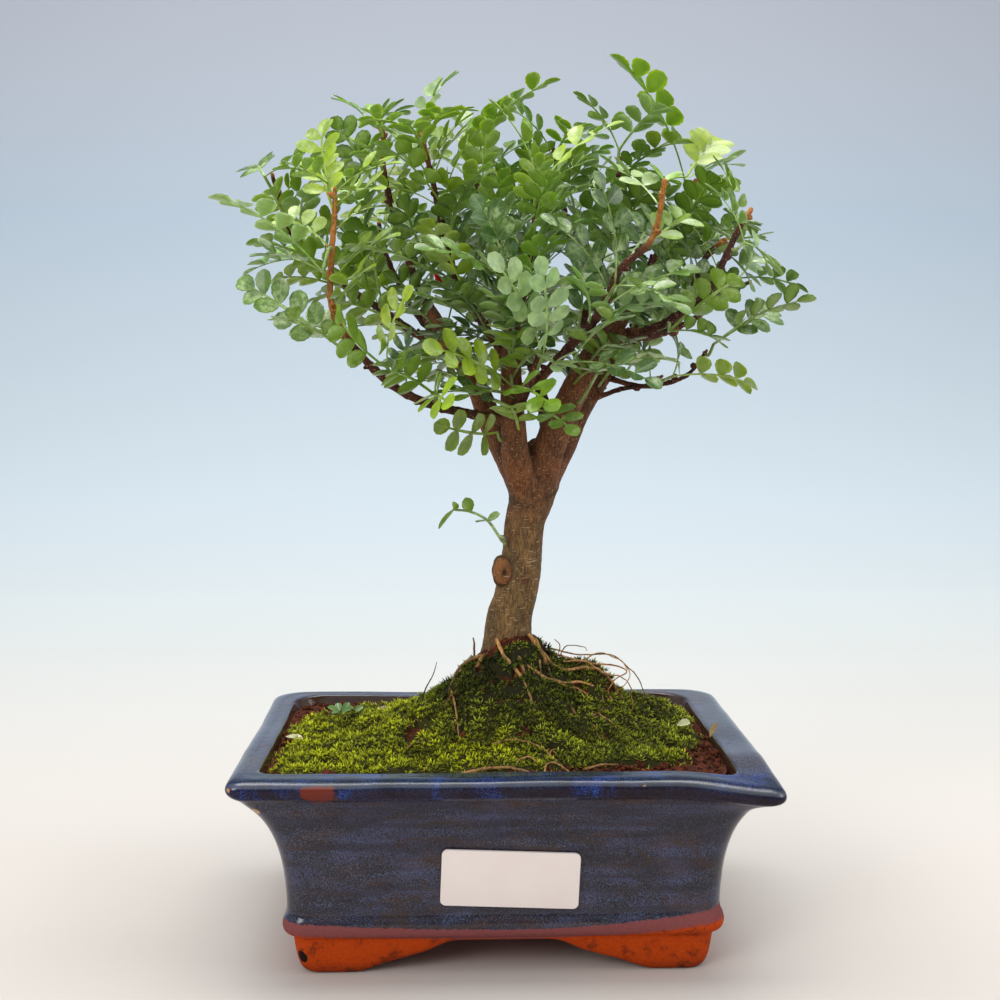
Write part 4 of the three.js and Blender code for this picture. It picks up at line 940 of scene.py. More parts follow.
def curve_point(path, t):
    """A point of the smooth curve through the path, t from 0 to 1, the same curve as in the part."""
    last = len(path) - 1
    position = t * last
    i = min(int(math.floor(position)), last - 1)
    w = position - i
    p1, p2 = path[i], path[i + 1]
    p0 = path[i - 1] if i > 0 else tuple(2 * a - b for a, b in zip(path[0], path[1]))
    p3 = path[i + 2] if i + 2 <= last else tuple(2 * a - b for a, b in zip(path[last], path[last - 1]))
    point = []
    for a, b, c, d in zip(p0, p1, p2, p3):
        v0 = (c - a) * 0.5
        v1 = (d - b) * 0.5
        cubic = (2 * b - 2 * c + v0 + v1) * w ** 3 + (-3 * b + 3 * c - 2 * v0 - v1) * w ** 2
        point.append(cubic + v0 * w + b)
    return tuple(point)


def radius_at(radii, t):
    position = t * (len(radii) - 1)
    first = min(int(math.floor(position)), len(radii) - 2)
    return radii[first] + (radii[first + 1] - radii[first]) * (position - first)


def smooth_path(path, step=1.0):
    """Points about one step apart along the curve through the path, with their shares of the way."""
    rough = np.array([curve_point(path, t) for t in np.linspace(0, 1, 12 * len(path))])
    length = np.linalg.norm(np.diff(rough, axis=0), axis=1).sum()
    shares = np.linspace(0, 1, max(4, int(length / step) + 1))
    return np.array([curve_point(path, t) for t in shares]), shares


def with_ends(values):
    """Values along a tube, with its end values again for the three rings of each cap."""
    return np.concatenate([values[:1]] * 3 + [values] + [values[-1:]] * 3)


def tube(centres, radii, sides, squash=1.0, up=UNALIGNED):
    """Points and faces of a closed tube with its own radius at each point and a round cap at both ends."""
    centres = np.asarray(centres, float)
    radii = np.asarray(radii, float)
    along = unit(np.gradient(centres, axis=0))
    front = centres[-1] + along[-1] * radii[-1] * np.array([0.45, 0.85, 1.0])[:, None]
    back = centres[0] - along[0] * radii[0] * np.array([1.0, 0.85, 0.45])[:, None]
    cap = np.array([0.89, 0.53, 0.08])
    centres = np.vstack([back, centres, front])
    radii = np.concatenate([cap[::-1] * radii[0], radii, cap * radii[-1]])
    along = with_ends(along)
    side = np.array(up, float)
    frames = []
    for direction in along:
        side = side - direction * side.dot(direction)
        side = side / np.linalg.norm(side)
        frames.append(side)
    side = np.array(frames)
    other = np.cross(along, side)
    turn = np.arange(sides) / sides * 2 * np.pi
    ring = np.cos(turn)[None, :, None] * side[:, None] + squash * np.sin(turn)[None, :, None] * other[:, None]
    points = (centres[:, None] + ring * radii[:, None, None]).reshape(-1, 3)
    return points, closed_faces(len(centres), sides)


class Pieces:
    """Points, faces and colours gathered from several closed shapes into one piece."""

    def __init__(self):
        self.points, self.faces, self.tints, self.marks = [], [], [], []
        self.count = 0

    def add(self, points, faces, tint, marks=(0, 0, 0)):
        self.points.append(points)
        self.faces.extend([[i + self.count for i in face] for face in faces])
        self.tints.append(np.broadcast_to(np.asarray(tint, float), (len(points), 3)))
        self.marks.append(np.broadcast_to(np.asarray(marks, float), (len(points), 3)))
        self.count += len(points)

    def build(self, name, material, slot, replaces=(), sharp=None):
        return mesh_object(name, np.vstack(self.points), self.faces, material, replaces,
                           np.vstack(self.tints), np.vstack(self.marks), sharp)


def bark_material():
    surface = Surface("bark", Roughness=0.75, Specular_IOR_Level=0.3)
    tint = surface.attribute("tint").outputs["Color"]
    trunk, cut = surface.marks()[:2]
    position = surface.position()
    fibre = surface.noise(surface.position((1, 1, 0.22)), 1.9, 5.0, 0.7, 0.6)
    dashes = surface.noise(surface.position((0.5, 0.5, 2.2)), 0.9, 1.0, 0.5)
    dashes = surface.between(dashes, 0.64, 0.69, 0, 0.85)
    dots = surface.noise(surface.position((0.9, 0.9, 1.3)), 1.5, 1.0, 0.5)
    dots = surface.between(dots, 0.65, 0.7, 0, 0.7)
    patch = surface.noise(position, 0.2, 4.0, 0.65)
    shade = surface.between(surface.noise(surface.position((1, 1, 0.5)), 0.22, 3.0), 0.3, 0.7)
    color = surface.mix(surface.between(fibre, 0.3, 0.68), (0.36, 0.31, 0.27), (1.5, 1.45, 1.35))
    color = surface.mix(1.0, tint, color, "MULTIPLY")
    color = surface.mix(1.0, color, surface.mix(shade, (0.72, 0.76, 0.8), (1.3, 1.22, 1.12)), "MULTIPLY")
    color = surface.mix(surface.between(patch, 0.56, 0.68, 0, 0.75), color, RED_PATCH)
    upper = surface.between(surface.split(position)["Z"], 82, 104)
    on_trunk = surface.times(trunk, surface.times(upper, dashes))
    on_limbs = surface.times(surface.math("SUBTRACT", 1.0, trunk), dots)
    light = surface.math("MAXIMUM", on_trunk, on_limbs)
    color = surface.mix(light, color, PALE_DASH)
    color = surface.mix(cut, color, CUT_WOOD)
    height = surface.math("ADD", fibre, surface.times(light, 0.35))
    return surface.finish(color, height=height, bump=0.55, distance=0.5)


def limb_tubes():
    """The tubes of the trunk, the limbs, the thick roots and the swelling round the scar."""
    tubes = Pieces()
    for name in LIMBS:
        path, radii = WOOD[name]
        centres, shares = smooth_path(path)
        widths = np.array([radius_at(radii, t) for t in shares])
        if name == "trunk":
            widths = widths + 2.6 * np.exp(-((centres[:, 2] - 74) / 6.5) ** 2)
            kept = centres[:, 2] > 62
            centres, widths = centres[kept], widths[kept]
        tubes.add(*tube(centres, widths, 40), (0, 0, 0))
    for towards, reach, bend, radius in SURFACE_ROOTS:
        t = np.linspace(0, 1, 34)
        angles = np.radians(towards + bend * np.sin(np.pi * t))
        flat = ground_points(angles, reach * t)
        radius = radius * ROOT_SHARE
        lie = 0.9 + 0.8 * noise_at(on_plane(flat), 0.22, towards * 1.0)
        z = soil_height(*flat.T) + lie - 3.2 * smoothstep(t, 0.7, 1)
        centres = np.vstack([(*TRUNK_FOOT, 85.0), np.column_stack([flat, z])])
        tubes.add(*tube(centres, np.linspace(radius * 1.5, radius * 0.6, len(centres)), 12), (0, 0, 0))
    tubes.add(*tube([SCAR - (0, 0, 2.4), SCAR, SCAR + (0, 0, 2.4)], [2.7, 3.3, 2.7], 24), (0, 0, 0))
    return tubes


def limb_mesh():
    """Trunk, limbs and thick roots grown together: their tubes are fused and smoothed."""
    tubes = limb_tubes()
    mesh = bpy.data.meshes.new("limbs_rough")
    mesh.from_pydata(place(np.vstack(tubes.points)).tolist(), [], tubes.faces)
    rough = bpy.data.objects.new("limbs_rough", mesh)
    bpy.context.scene.collection.objects.link(rough)
    remesh = rough.modifiers.new("fuse", "REMESH")
    remesh.mode = "VOXEL"
    remesh.voxel_size = WOOD_VOXEL * MM
    smooth = rough.modifiers.new("smooth", "SMOOTH")
    smooth.factor = 0.6
    smooth.iterations = 5
    apply_modifiers(rough)
    fused = rough.data
    points, normals = np.empty((2, len(fused.vertices) * 3))
    fused.vertices.foreach_get("co", points)
    fused.vertices.foreach_get("normal", normals)
    faces = [list(polygon.vertices) for polygon in fused.polygons]
    bpy.data.objects.remove(rough)
    return points.reshape(-1, 3) / MM - SHIFT, normals.reshape(-1, 3), faces


def add_limbs(wood):
    """The trunk, limbs and thick roots with the relief and colours of their bark, and the trunk's scar, its
    hollow darkened as painted shade.
    """
    points, normals, faces = limb_mesh()
    low = 1 - smoothstep(points[:, 2], 92, 128)
    fissures = noise_at(points * (1, 1, 0.12), 0.55, 3.0)
    ribs = noise_at(points * (1, 1, 0.3), 0.2, 9.0)
    rings = noise_at(points * (0.3, 0.3, 1.6), 0.35, 2.0)
    depth = fissures * (0.12 + 0.2 * low) + ribs * (0.35 + 0.25 * low) + rings * 0.12
    scar = np.linalg.norm((points - SCAR - (0, -2.2, 0)) / (3.2, 3.0, 4.3), axis=1)
    hollow = np.exp(-(np.linalg.norm((points - SCAR - (1.2, -2.4, -0.5)) / (1.2, 2.5, 1.8), axis=1)) ** 2)
    collar = np.exp(-((points[:, 2] - 131 - 0.45 * np.abs(points[:, 0] - 8)) / 1.1) ** 2)
    points = points + normals * (depth + 0.3 * collar - 1.6 * hollow)[:, None]
    share = smoothstep(points[:, 2], 118, 140)[:, None]
    tint = TRUNK_BARK * (1 - share) + LIMB_BARK * share
    rim = np.exp(-((scar - 1.05) / 0.12) ** 2)
    foot = 1 - smoothstep(points[:, 2], 78, 86)
    # Darker collar, scar rim and foot; in the scar's hollow the bark is painted nearly black as shade in the
    # recess
    for darker, amount in ((collar, 0.5), (hollow, 0.9), (rim, 0.65), (foot, 0.35)):
        tint = tint * (1 - amount * darker[:, None])
    root = smoothstep(np.hypot(points[:, 0] - 2, points[:, 1]), 9.2, 10.8)[:, None] * (points[:, 2:] < 90)
    tint = tint * (1 - root) + ROOT_BARK * root
    cut = (1 - smoothstep(scar, 0.75, 1.1)) * 0.45 * (1 - hollow)
    wood.add(points, faces, tint, np.column_stack([1 - share[:, 0], cut, np.zeros(len(cut))]))


def add_twig(wood, name, random):
    """A branch with knobs along it, and dry and tan at its end where it was cut back."""
    path, radii = WOOD[name]
    centres, shares = smooth_path(path, 0.8)
    widths = np.array([radius_at(radii, t) for t in shares])
    length = np.linalg.norm(np.diff(centres, axis=0), axis=1).cumsum()
    length = np.concatenate([[0], length])
    start = random.uniform(0, 6)
    for knob in np.arange(start + 4, length[-1], 6.3):
        widths = widths * (1 + 0.22 * np.exp(-((length - knob) / 0.9) ** 2))
    widths = widths * TWIG_SHARE + widths[0] * 0.55 * np.exp(-length / 2.5)
    centres = centres + random.normal(0, 0.04, centres.shape)
    points, faces = tube(centres, widths, 12)
    middle = np.repeat(with_ends(centres), 12, axis=0)
    points = points + unit(points - middle) * (noise_at(points, 0.5, 5.0) * 0.1)[:, None]
    share = np.repeat(with_ends(shares), 12)[:, None]
    away = smoothstep(share, 0, 0.25)
    tint = LIMB_BARK * (1 - away) + TWIG_BARK * away
    tan = TAN_SHARE.get(name, 0)
    tip = smoothstep(share, 1 - tan - 0.12, 1 - tan + 0.05) if tan else share * 0
    tint = tint * (1 - tip) + TAN_BARK * tip
    wood.add(points, faces, tint, (share > 0.995) * (0, 0.8, 0))


def make_wood():
    wood = Pieces()
    add_limbs(wood)
    random = np.random.RandomState(3)
    for name in WOOD:
        if name not in LIMBS:
            add_twig(wood, name, random)
    wood.build("tree_wood", BARK, "bark", ["trunk_and_branches"])


SOIL = soil_material()
BARK = bark_material()

# Leaves: the sprays stand where they stand in the part, and each one becomes finer
LEAF_THICKNESS = 0.66
RACHIS_HALF = 0.5
SHOOT_ELBOW = 1.9
SHOOT_RADIUS = 1
SEAT_GAP = 0.3
LEAFLET_ANGLE = math.radians(60)
LEAFLET_LENGTH = 6.8
PAIR_SPACING = 6.3
FIRST_LEAFLET = 0.2
LAST_LEAFLET = 0.83
LEAF_ARCH = 0.09
LEAF_CLEARANCE = 0.25
CROWN_CENTRE = np.array([4.0, 0.0, 190.0])
# Branch, share of the way along it, the shoot's end, the leaves' tips, and the leaves' tones:
# y young, b bright, f fresh, m middle green, d dark with a painted grey sheen, p pale
PLACED_SPRAYS = [
    ("upperRight", 0.84, (59, 13, 233), [(34, -4, 268), (78, 22, 239), (72, 27, 248)], "bpy"),
    ("longLeft", 0.8, (-51, -37, 200), [(-78, -60, 218), (-68, -44, 204)], "pm"),
    ("longLeft", 0.52, (-45, -38, 178), [(-75, -31, 198), (-63, -53, 186)], "mm"),
    ("rightTwig", 0.97, (67, 3, 181), [(97, -2, 195), (90, 18, 192)], "mm"),
    ("frontRight", 0.13, (11, -35, 176), [(9, -56, 202), (-4, -54, 203)], "pp"),
    ("frontRight", 0.5, (31, -42, 196), [(25, -48, 226), (48, -60, 188)], "dm"),
    ("middleFront", 0.92, (11, -19, 226), [(35, -20, 245), (-3, -24, 250)], "yf"),
    ("middle", 0.93, (-8, 13, 243), [(18, 4, 262), (7, 24, 259), (-18, 24, 256)], "yff"),
    ("tallFront", 0.92, (-24, -3, 246), [(-14, 4, 263), (-9, -10, 250)], "py"),
    ("lowTwig", 0.95, (54, 1, 171), [(76, -17, 168), (64, 20, 174)], "yf"),
    ("frontRight", 0.2, (20, -30, 175), [(43, -45, 168), (34, -54, 187)], "dd"),
    ("frontLimb", 0.78, (3, -21, 168), [(-22, -46, 179), (14, -44, 162)], "yf"),
    ("longLeft", 0.24, (-19, -28, 165), [(-14, -52, 176), (-31, -52, 172)], "yf"),
    ("longLeft", 0.38, (-33, -35, 173), [(-47, -50, 189), (-26, -50, 194), (-42, -42, 166)], "fyf"),
    ("lowRight", 0.83, (76, 10, 202), [(94, 0, 198), (84, 24, 211)], "dm"),
    ("right", 0.7, (71, -23, 210), [(65, -16, 226), (82, -6, 203)], "pp"),
    ("rightStub", 0.7, (68, 8, 211), [(76, -10, 198), (62, 28, 216)], "pm"),
    ("farLeft", 0.62, (-57, 12, 207), [(-76, 4, 212), (-76, 26, 207)], "fm"),
    ("farLeft", 0.95, (-72, 3, 232), [(-52, 4, 238), (-76, 22, 238)], "fm"),
    ("longLeft", 0.97, (-50, -25, 226), [(-52, -18, 244), (-62, -36, 229)], "yf"),
    ("tallLeft", 0.93, (-40, 14, 250), [(-50, 18, 258), (-30, 28, 256)], "fm"),
    ("backTall", 0.95, (17, 33, 247), [(4, 34, 259), (36, 42, 251)], "mm"),
    ("rightTall", 0.95, (38, 12, 242), [(25, 8, 258), (58, 8, 252)], "fp"),
    ("middleBack", 0.95, (12, 26, 231), [(15, 24, 247), (-4, 42, 240)], "dm"),
    ("tallFront", 0.7, (-17, -10, 221), [(-7, -14, 243), (-36, -24, 238)], "yf"),
    ("middleFront", 0.4, (2, -27, 197), [(-24, -46, 206), (-8, -34, 221)], "md"),
    ("tallFront", 0.14, (-8, -13, 186), [(-29, -36, 194)], "m"),
    ("tallFront", 0.42, (-20, -5, 202), [(-29, -16, 223), (-46, -24, 208)], "df"),
    ("farLeft", 0.4, (-41, 12, 198), [(-38, -12, 226), (-62, -8, 208)], "mf"),
    ("farLeft", 0.15, (-28, 14, 186), [(-50, -6, 194), (-56, 18, 184)], "fm"),
    ("rightLimb", 0.45, (29, -15, 172), [(50, -32, 175)], "f"),
    ("right", 0.3, (49, -23, 184), [(66, -40, 198), (62, -38, 180)], "fm"),
    ("frontLimb", 0.42, (-1, -12, 154), [(-19, -36, 157)], "f"),
    ("frontLimb", 0.55, (9, -16, 161), [(20, -36, 155)], "f"),
    ("trunk", 0.615, (-3, -8, 126), [(-19, -14, 126)], "f"),
]
FREE_SPRAYS = [
    ("backLeft", 0.55), ("backLeft", 0.75), ("backLeft", 0.97),
    ("backRight", 0.5), ("backRight", 0.75), ("backRight", 0.97),
    ("backMiddle", 0.55), ("backMiddle", 0.75), ("backMiddle", 0.97),
    ("upperRight", 0.45), ("rightTall", 0.6), ("backTall", 0.5), ("tallLeft", 0.5), ("farLeft", 0.57),
]
FREE_LEAVES = 3
FREE_SEED = 20
TONES = {"y": (0.28, 0.41, 0.010), "b": (0.21, 0.35, 0.010), "f": (0.145, 0.27, 0.008),
         "m": (0.062, 0.15, 0.008), "d": (0.026, 0.082, 0.009), "p": (0.28, 0.42, 0.18)}


def length_of(v):
    return math.sqrt(float(v.dot(v)))


def turned(v, axis, angle):
    """A vector turned about an axis."""
    cos, sin = math.cos(angle), math.sin(angle)
    return v * cos + np.cross(axis, v) * sin + axis * float(axis.dot(v)) * (1 - cos)


def normal_of(v):
    return v / length_of(v)


def leaf_plan(base, tip, upward=0.8):
    """A leaf's own frame: its midrib from base to tip, and the way its upper face looks."""
    chord = tip - base
    length = length_of(chord)
    along = chord / length
    outward = normal_of(base + (tip - base) * 0.5 - CROWN_CENTRE)
    face = outward + (0, 0, upward)
    face = normal_of(face - along * float(face.dot(along)))
    across = normal_of(np.cross(along, face))
    share = LAST_LEAFLET - FIRST_LEAFLET
    pairs = max(2, math.floor(length * share / PAIR_SPACING + 0.5))
    return {"base": base, "length": length, "along": along, "face": face, "across": across,
            "arch": LEAF_ARCH * length, "pairs": pairs, "spacing": length * share / pairs}


def rib_point(plan, share):
    """A point of a leaf's arched midrib."""
    return (plan["base"] + plan["along"] * (plan["length"] * share)
            + plan["face"] * (plan["arch"] * 4 * share * (1 - share)))


def box_along(start, end, upward, half_width, half_height):
    """A box from start to end: its centre, its axes and its half sizes."""
    along = end - start
    half = length_of(along) / 2
    along = normal_of(along)
    across = normal_of(np.cross(along, upward))
    up = np.cross(across, along)
    halves = np.array([half, half_width, half_height])
    return start + (end - start) * 0.5, np.array([along, across, up]), halves


def leaf_boxes(plan):
    """Boxes round a leaf's leaflets, its midrib and its end, in this order."""
    flat = LEAF_THICKNESS / 2 + LEAF_CLEARANCE
    wide = 0.38 * plan["spacing"] + LEAF_CLEARANCE
    boxes = []
    for pair in range(plan["pairs"]):
        foot = rib_point(plan, FIRST_LEAFLET + (pair + 0.5) * plan["spacing"] / plan["length"])
        for side in (-1, 1):
            sideways = plan["across"] * (side * math.sin(LEAFLET_ANGLE))
            direction = plan["along"] * math.cos(LEAFLET_ANGLE) + sideways
            length = LEAFLET_LENGTH * (1 - 0.25 * abs(pair / plan["pairs"] - 0.3))
            boxes.append(box_along(foot, foot + direction * length, plan["face"], wide, flat))
    for i in range(3):
        start, end = (rib_point(plan, 0.06 + 0.8 * k / 3) for k in (i, i + 1))
        boxes.append(box_along(start, end, plan["face"], RACHIS_HALF + LEAF_CLEARANCE, flat))
    boxes.append(box_along(rib_point(plan, LAST_LEAFLET), rib_point(plan, 1), plan["face"], wide, flat))
    return boxes


class Taken:
    """Boxes that stand for the wood and the leaves placed so far."""

    def __init__(self, boxes):
        self.centres = np.array([box[0] for box in boxes])
        self.axes = np.array([box[1] for box in boxes])
        self.halves = np.array([box[2] for box in boxes])

    def extended(self, boxes):
        more = Taken(boxes)
        both = Taken.__new__(Taken)
        both.centres = np.vstack([self.centres, more.centres])
        both.axes = np.vstack([self.axes, more.axes])
        both.halves = np.vstack([self.halves, more.halves])
        return both

    def meets(self, box):
        """Whether the box meets one of these: boxes that don't meet have a gap in some direction."""
        centre, axes, halves = box
        offset = self.centres - centre
        reach = length_of(halves) + np.linalg.norm(self.halves, axis=1)
        near = np.nonzero(np.linalg.norm(offset, axis=1) <= reach)[0]
        if not len(near):
            return False
        offset, others, spans = offset[near], self.axes[near], self.halves[near]
        crossed = np.cross(axes[None, :, None], others[:, None]).reshape(len(near), 9, 3)
        lines = np.concatenate([np.broadcast_to(axes, others.shape), others, crossed], axis=1)
        own = np.abs(lines @ axes.T) @ halves
        other = np.einsum("klm,km->kl", np.abs(np.einsum("klc,kmc->klm", lines, others)), spans)
        gap = np.abs(np.einsum("klc,kc->kl", lines, offset))
        return bool((gap <= own + other).all(axis=1).any())


def wood_samples(name):
    """The points and radii that the part's own branch is built from."""
    path, radii = WOOD[name]
    length = sum(math.dist(a, b) for a, b in zip(path, path[1:]))
    steps = TRUNK_STEPS if name == "trunk" else max(3, math.floor(length / WOOD_STEP + 0.5))
    shares = [i / steps for i in range(steps + 1)]
    return np.array([curve_point(path, t) for t in shares]), [radius_at(radii, t) for t in shares]


def wood_place(name, share):
    """The middle, the direction and the radius of a branch at a share of its length."""
    centres, radii = wood_samples(name)
    position = share * (len(centres) - 1)
    first = min(math.floor(position), len(centres) - 2)
    part = position - first
    heart = centres[first] + (centres[first + 1] - centres[first]) * part
    grain = normal_of(centres[first + 1] - centres[first])
    return heart, grain, radii[first] + (radii[first + 1] - radii[first]) * part


def shoot_path(name, share, end):
    """A shoot's foot on the bark, its elbow and its end."""
    heart, grain, radius = wood_place(name, share)
    out = end - heart
    out = normal_of(out - grain * float(out.dot(grain)))
    return heart + out * (radius + SEAT_GAP), heart + out * (radius + SEAT_GAP + SHOOT_ELBOW), end


def clear_leaf(base, tip, taken, turns=15, on_branch=False, upward=0.8):
    """The leaf, swung to one side or made shorter until it stands clear of the wood and the other leaves.

    A leaf that grows straight on a branch may touch the wood with the first part of its midrib.
    """
    first = leaf_plan(base, tip, upward)
    for stretch in (1, 0.82, 0.66):
        for turn in range(turns):
            swing = math.radians(7) * math.ceil(turn / 2) * (1 if turn % 2 == 0 else -1)
            chord = turned((tip - base) * stretch, first["face"], swing)
            plan = leaf_plan(base, base + chord, upward)
            boxes = leaf_boxes(plan)
            tested = boxes[:-4] + boxes[-3:] if on_branch else boxes
            if not any(taken.meets(box) for box in tested):
                return plan, boxes
    return None


def free_spray(name, share, random):
    """A spray that is laid out by the same draws as in the part."""
    heart = wood_place(name, share)[0]
    outward = normal_of(heart - CROWN_CENTRE)

    def scatter(amount):
        return np.array([random() - 0.5, random() - 0.5, random() - 0.5]) * amount

    end = heart + normal_of(outward + scatter(0.9)) * 5
    tips = []
    for i in range(FREE_LEAVES):
        swing = (i - (FREE_LEAVES - 1) / 2) * 1.25
        direction = turned(outward, np.array([0.0, 0.0, 1.0]), swing) + (0, 0, 0.25)
        direction = normal_of(direction + scatter(0.5))
        tips.append(end + direction * (23 + 6 * random()))
    return name, share, end, tips, "mfd"


def spray_plans():
    """The shoot and the leaves of each spray as in the part, and the space that they and the wood take."""
    random = seeded_random(FREE_SEED)
    rows = PLACED_SPRAYS + [free_spray(name, share, random) for name, share in FREE_SPRAYS]
    shoots = [shoot_path(name, share, np.array(end, float)) for name, share, end, tips, tones in rows]
    shoot_boxes = [box_along(*shoot[1:], UNALIGNED, SHOOT_RADIUS, SHOOT_RADIUS) for shoot in shoots]
    boxes = []
    for name in WOOD:
        centres, radii = wood_samples(name)
        for i in range(len(centres) - 1):
            radius = max(radii[i], radii[i + 1]) + LEAF_CLEARANCE
            boxes.append(box_along(centres[i], centres[i + 1], UNALIGNED, radius, radius))
    taken = Taken(boxes)
    plans = []
    for i, (name, share, end, tips, tones) in enumerate(rows):
        around = taken.extended([box for k, box in enumerate(shoot_boxes) if k != i])
        placed = []
        for tip, tone in zip(tips, tones):
            found = clear_leaf(shoots[i][2], np.array(tip, float), around)
            if found:
                placed.append((found, tone))
        if placed:
            taken = taken.extended([box for (plan, own), tone in placed for box in own])
        plans.append((shoots[i], [(plan, tone) for (plan, own), tone in placed]))
    return plans, taken


LEAFLET_ROWS = 9
LEAFLET_COLUMNS = 5
LEAFLET_WIDTH = 5.7
LEAFLET_REACH = 7.4
LEAFLET_STEP = 5.8
TOP_LEAF_SCALE = 1.2


def leaflet_template():
    """A leaflet's outline: the shares of the way along it, and its half width there."""
    u = np.linspace(0, 1, LEAFLET_ROWS)
    t = u ** 1.25
    width = np.maximum(1 - np.abs(2 * t - 1) ** 2.3, 0) ** 0.6
    notch = np.abs(np.sin(np.pi * u * (LEAFLET_ROWS - 1) / 2))
    width = width * (0.93 + 0.07 * notch)
    width[0] = 0.1
    width[-1] = 0.12
    return u, width


def leaflet_faces():
    """Faces of a leaflet's upper and lower sheet, and the points that have a twin in the lower sheet."""
    rows, columns = LEAFLET_ROWS, LEAFLET_COLUMNS
    lower = {}
    count = rows * columns
    for row in range(1, rows - 1):
        for column in range(1, columns - 1):
            lower[row * columns + column] = count
            count += 1
    faces = []
    for row in range(rows - 1):
        for column in range(columns - 1):
            quad = [row * columns + column, row * columns + column + 1,
                    (row + 1) * columns + column + 1, (row + 1) * columns + column]
            faces.append(quad)
            faces.append([lower.get(i, i) for i in quad][::-1])
    return faces, sorted(lower)


LEAFLET_U, LEAFLET_W = leaflet_template()
LEAFLET_FACES, LEAFLET_LOWER = leaflet_faces()


def leaflet(foot, direction, width, face, length, half, fold, droop, tint):
    """One leaflet: a thin lens that is folded along its midrib and bends down towards its end."""
    v = np.linspace(-1, 1, LEAFLET_COLUMNS)
    u = LEAFLET_U[:, None]
    across = LEAFLET_W[:, None] * half * v[None]
    lift = np.abs(across) * math.sin(fold) - droop * length * u ** 2
    points = (foot + direction * (u * length)[..., None] + width * (across * math.cos(fold))[..., None]
              + face * lift[..., None]).reshape(-1, 3)
    below = points[LEAFLET_LOWER] - face * 0.22
    points[LEAFLET_LOWER] += face * 0.06
    marks = np.stack(np.broadcast_arrays(np.abs(v), u, 1.0), axis=-1).reshape(-1, 3)
    under = marks[LEAFLET_LOWER] * (1, 1, 0)
    return np.vstack([points, below]), LEAFLET_FACES, tint, np.vstack([marks, under])


def add_leaf(pieces, plan, tone, random, scale=1):
    """A leaf: its winged rib, its pairs of leaflets and the one at its end."""
    tone = np.array(TONES[tone]) * random.uniform(0.85, 1.18)
    tone = tone * (1 + random.uniform(-0.08, 0.08, 3))
    rib_tone = tone * 0.6 + np.array([0.13, 0.2, 0.02])
    shares = np.linspace(0, 0.9, 15)
    rib = np.array([rib_point(plan, share) for share in shares]) - plan["face"] * 0.1
    widths = np.interp(shares, [0, 0.12, 0.6, 0.9], [0.42, 0.42, 0.5, 0.3])
    points, faces = tube(rib, widths, 6, 0.5, up=plan["across"])
    pieces.add(points, faces, rib_tone, (0.5, 0.5, 1))
    span = LAST_LEAFLET - FIRST_LEAFLET
    pairs = max(3, int(round(plan["length"] * span / LEAFLET_STEP)))
    spacing = plan["length"] * span / pairs
    half = min(LEAFLET_WIDTH / 2, spacing * 0.5) * scale
    for pair in range(pairs):
        share = FIRST_LEAFLET + (pair + 0.5) * spacing / plan["length"]
        grown = 0.8 + 0.2 * math.sin(math.pi * min(1, (pair + 1) / pairs * 0.75))
        for side in (-1, 1):
            angle = LEAFLET_ANGLE + math.radians(random.normal(4 - 12 * pair / pairs, 5))
            place_on = rib_point(plan, share + random.uniform(-0.01, 0.01))
            tangent = normal_of(rib_point(plan, share + 0.02) - rib_point(plan, share - 0.02))
            face = normal_of(plan["face"] - tangent * float(plan["face"].dot(tangent)))
            face = turned(face, tangent, -side * math.radians(random.normal(12, 9)))
            across = np.cross(tangent, face)
            direction = tangent * math.cos(angle) + across * (side * math.sin(angle))
            width = np.cross(face, direction)
            length = LEAFLET_REACH * scale * grown * random.uniform(0.92, 1.06)
            pitch = math.radians(random.normal(-4, 7))
            face, direction = turned(face, width, pitch), turned(direction, width, pitch)
            pieces.add(*leaflet(place_on + direction * 0.25, direction, width, face, length, half * grown,
                                math.radians(random.uniform(6, 17)), random.uniform(0.02, 0.1),
                                tone * random.uniform(0.9, 1.1)))
    start = rib_point(plan, 0.85)
    direction = normal_of(rib_point(plan, 1) - start)
    face = normal_of(plan["face"] - direction * float(plan["face"].dot(direction)))
    length = max(5.6, length_of(rib_point(plan, 1) - start) + 0.9)
    pieces.add(*leaflet(start, direction, np.cross(face, direction), face, min(length, 7.8), half,
                        math.radians(10), 0.05, tone))


VEIN = (0.26, 0.42, 0.07)
# Painted reflection: the whitish sheen mixed into the leaves' colour
PAINTED_LEAF_SHEEN = (0.54, 0.69, 0.33)
LEAF_UNDERSIDE = (0.21, 0.34, 0.03)


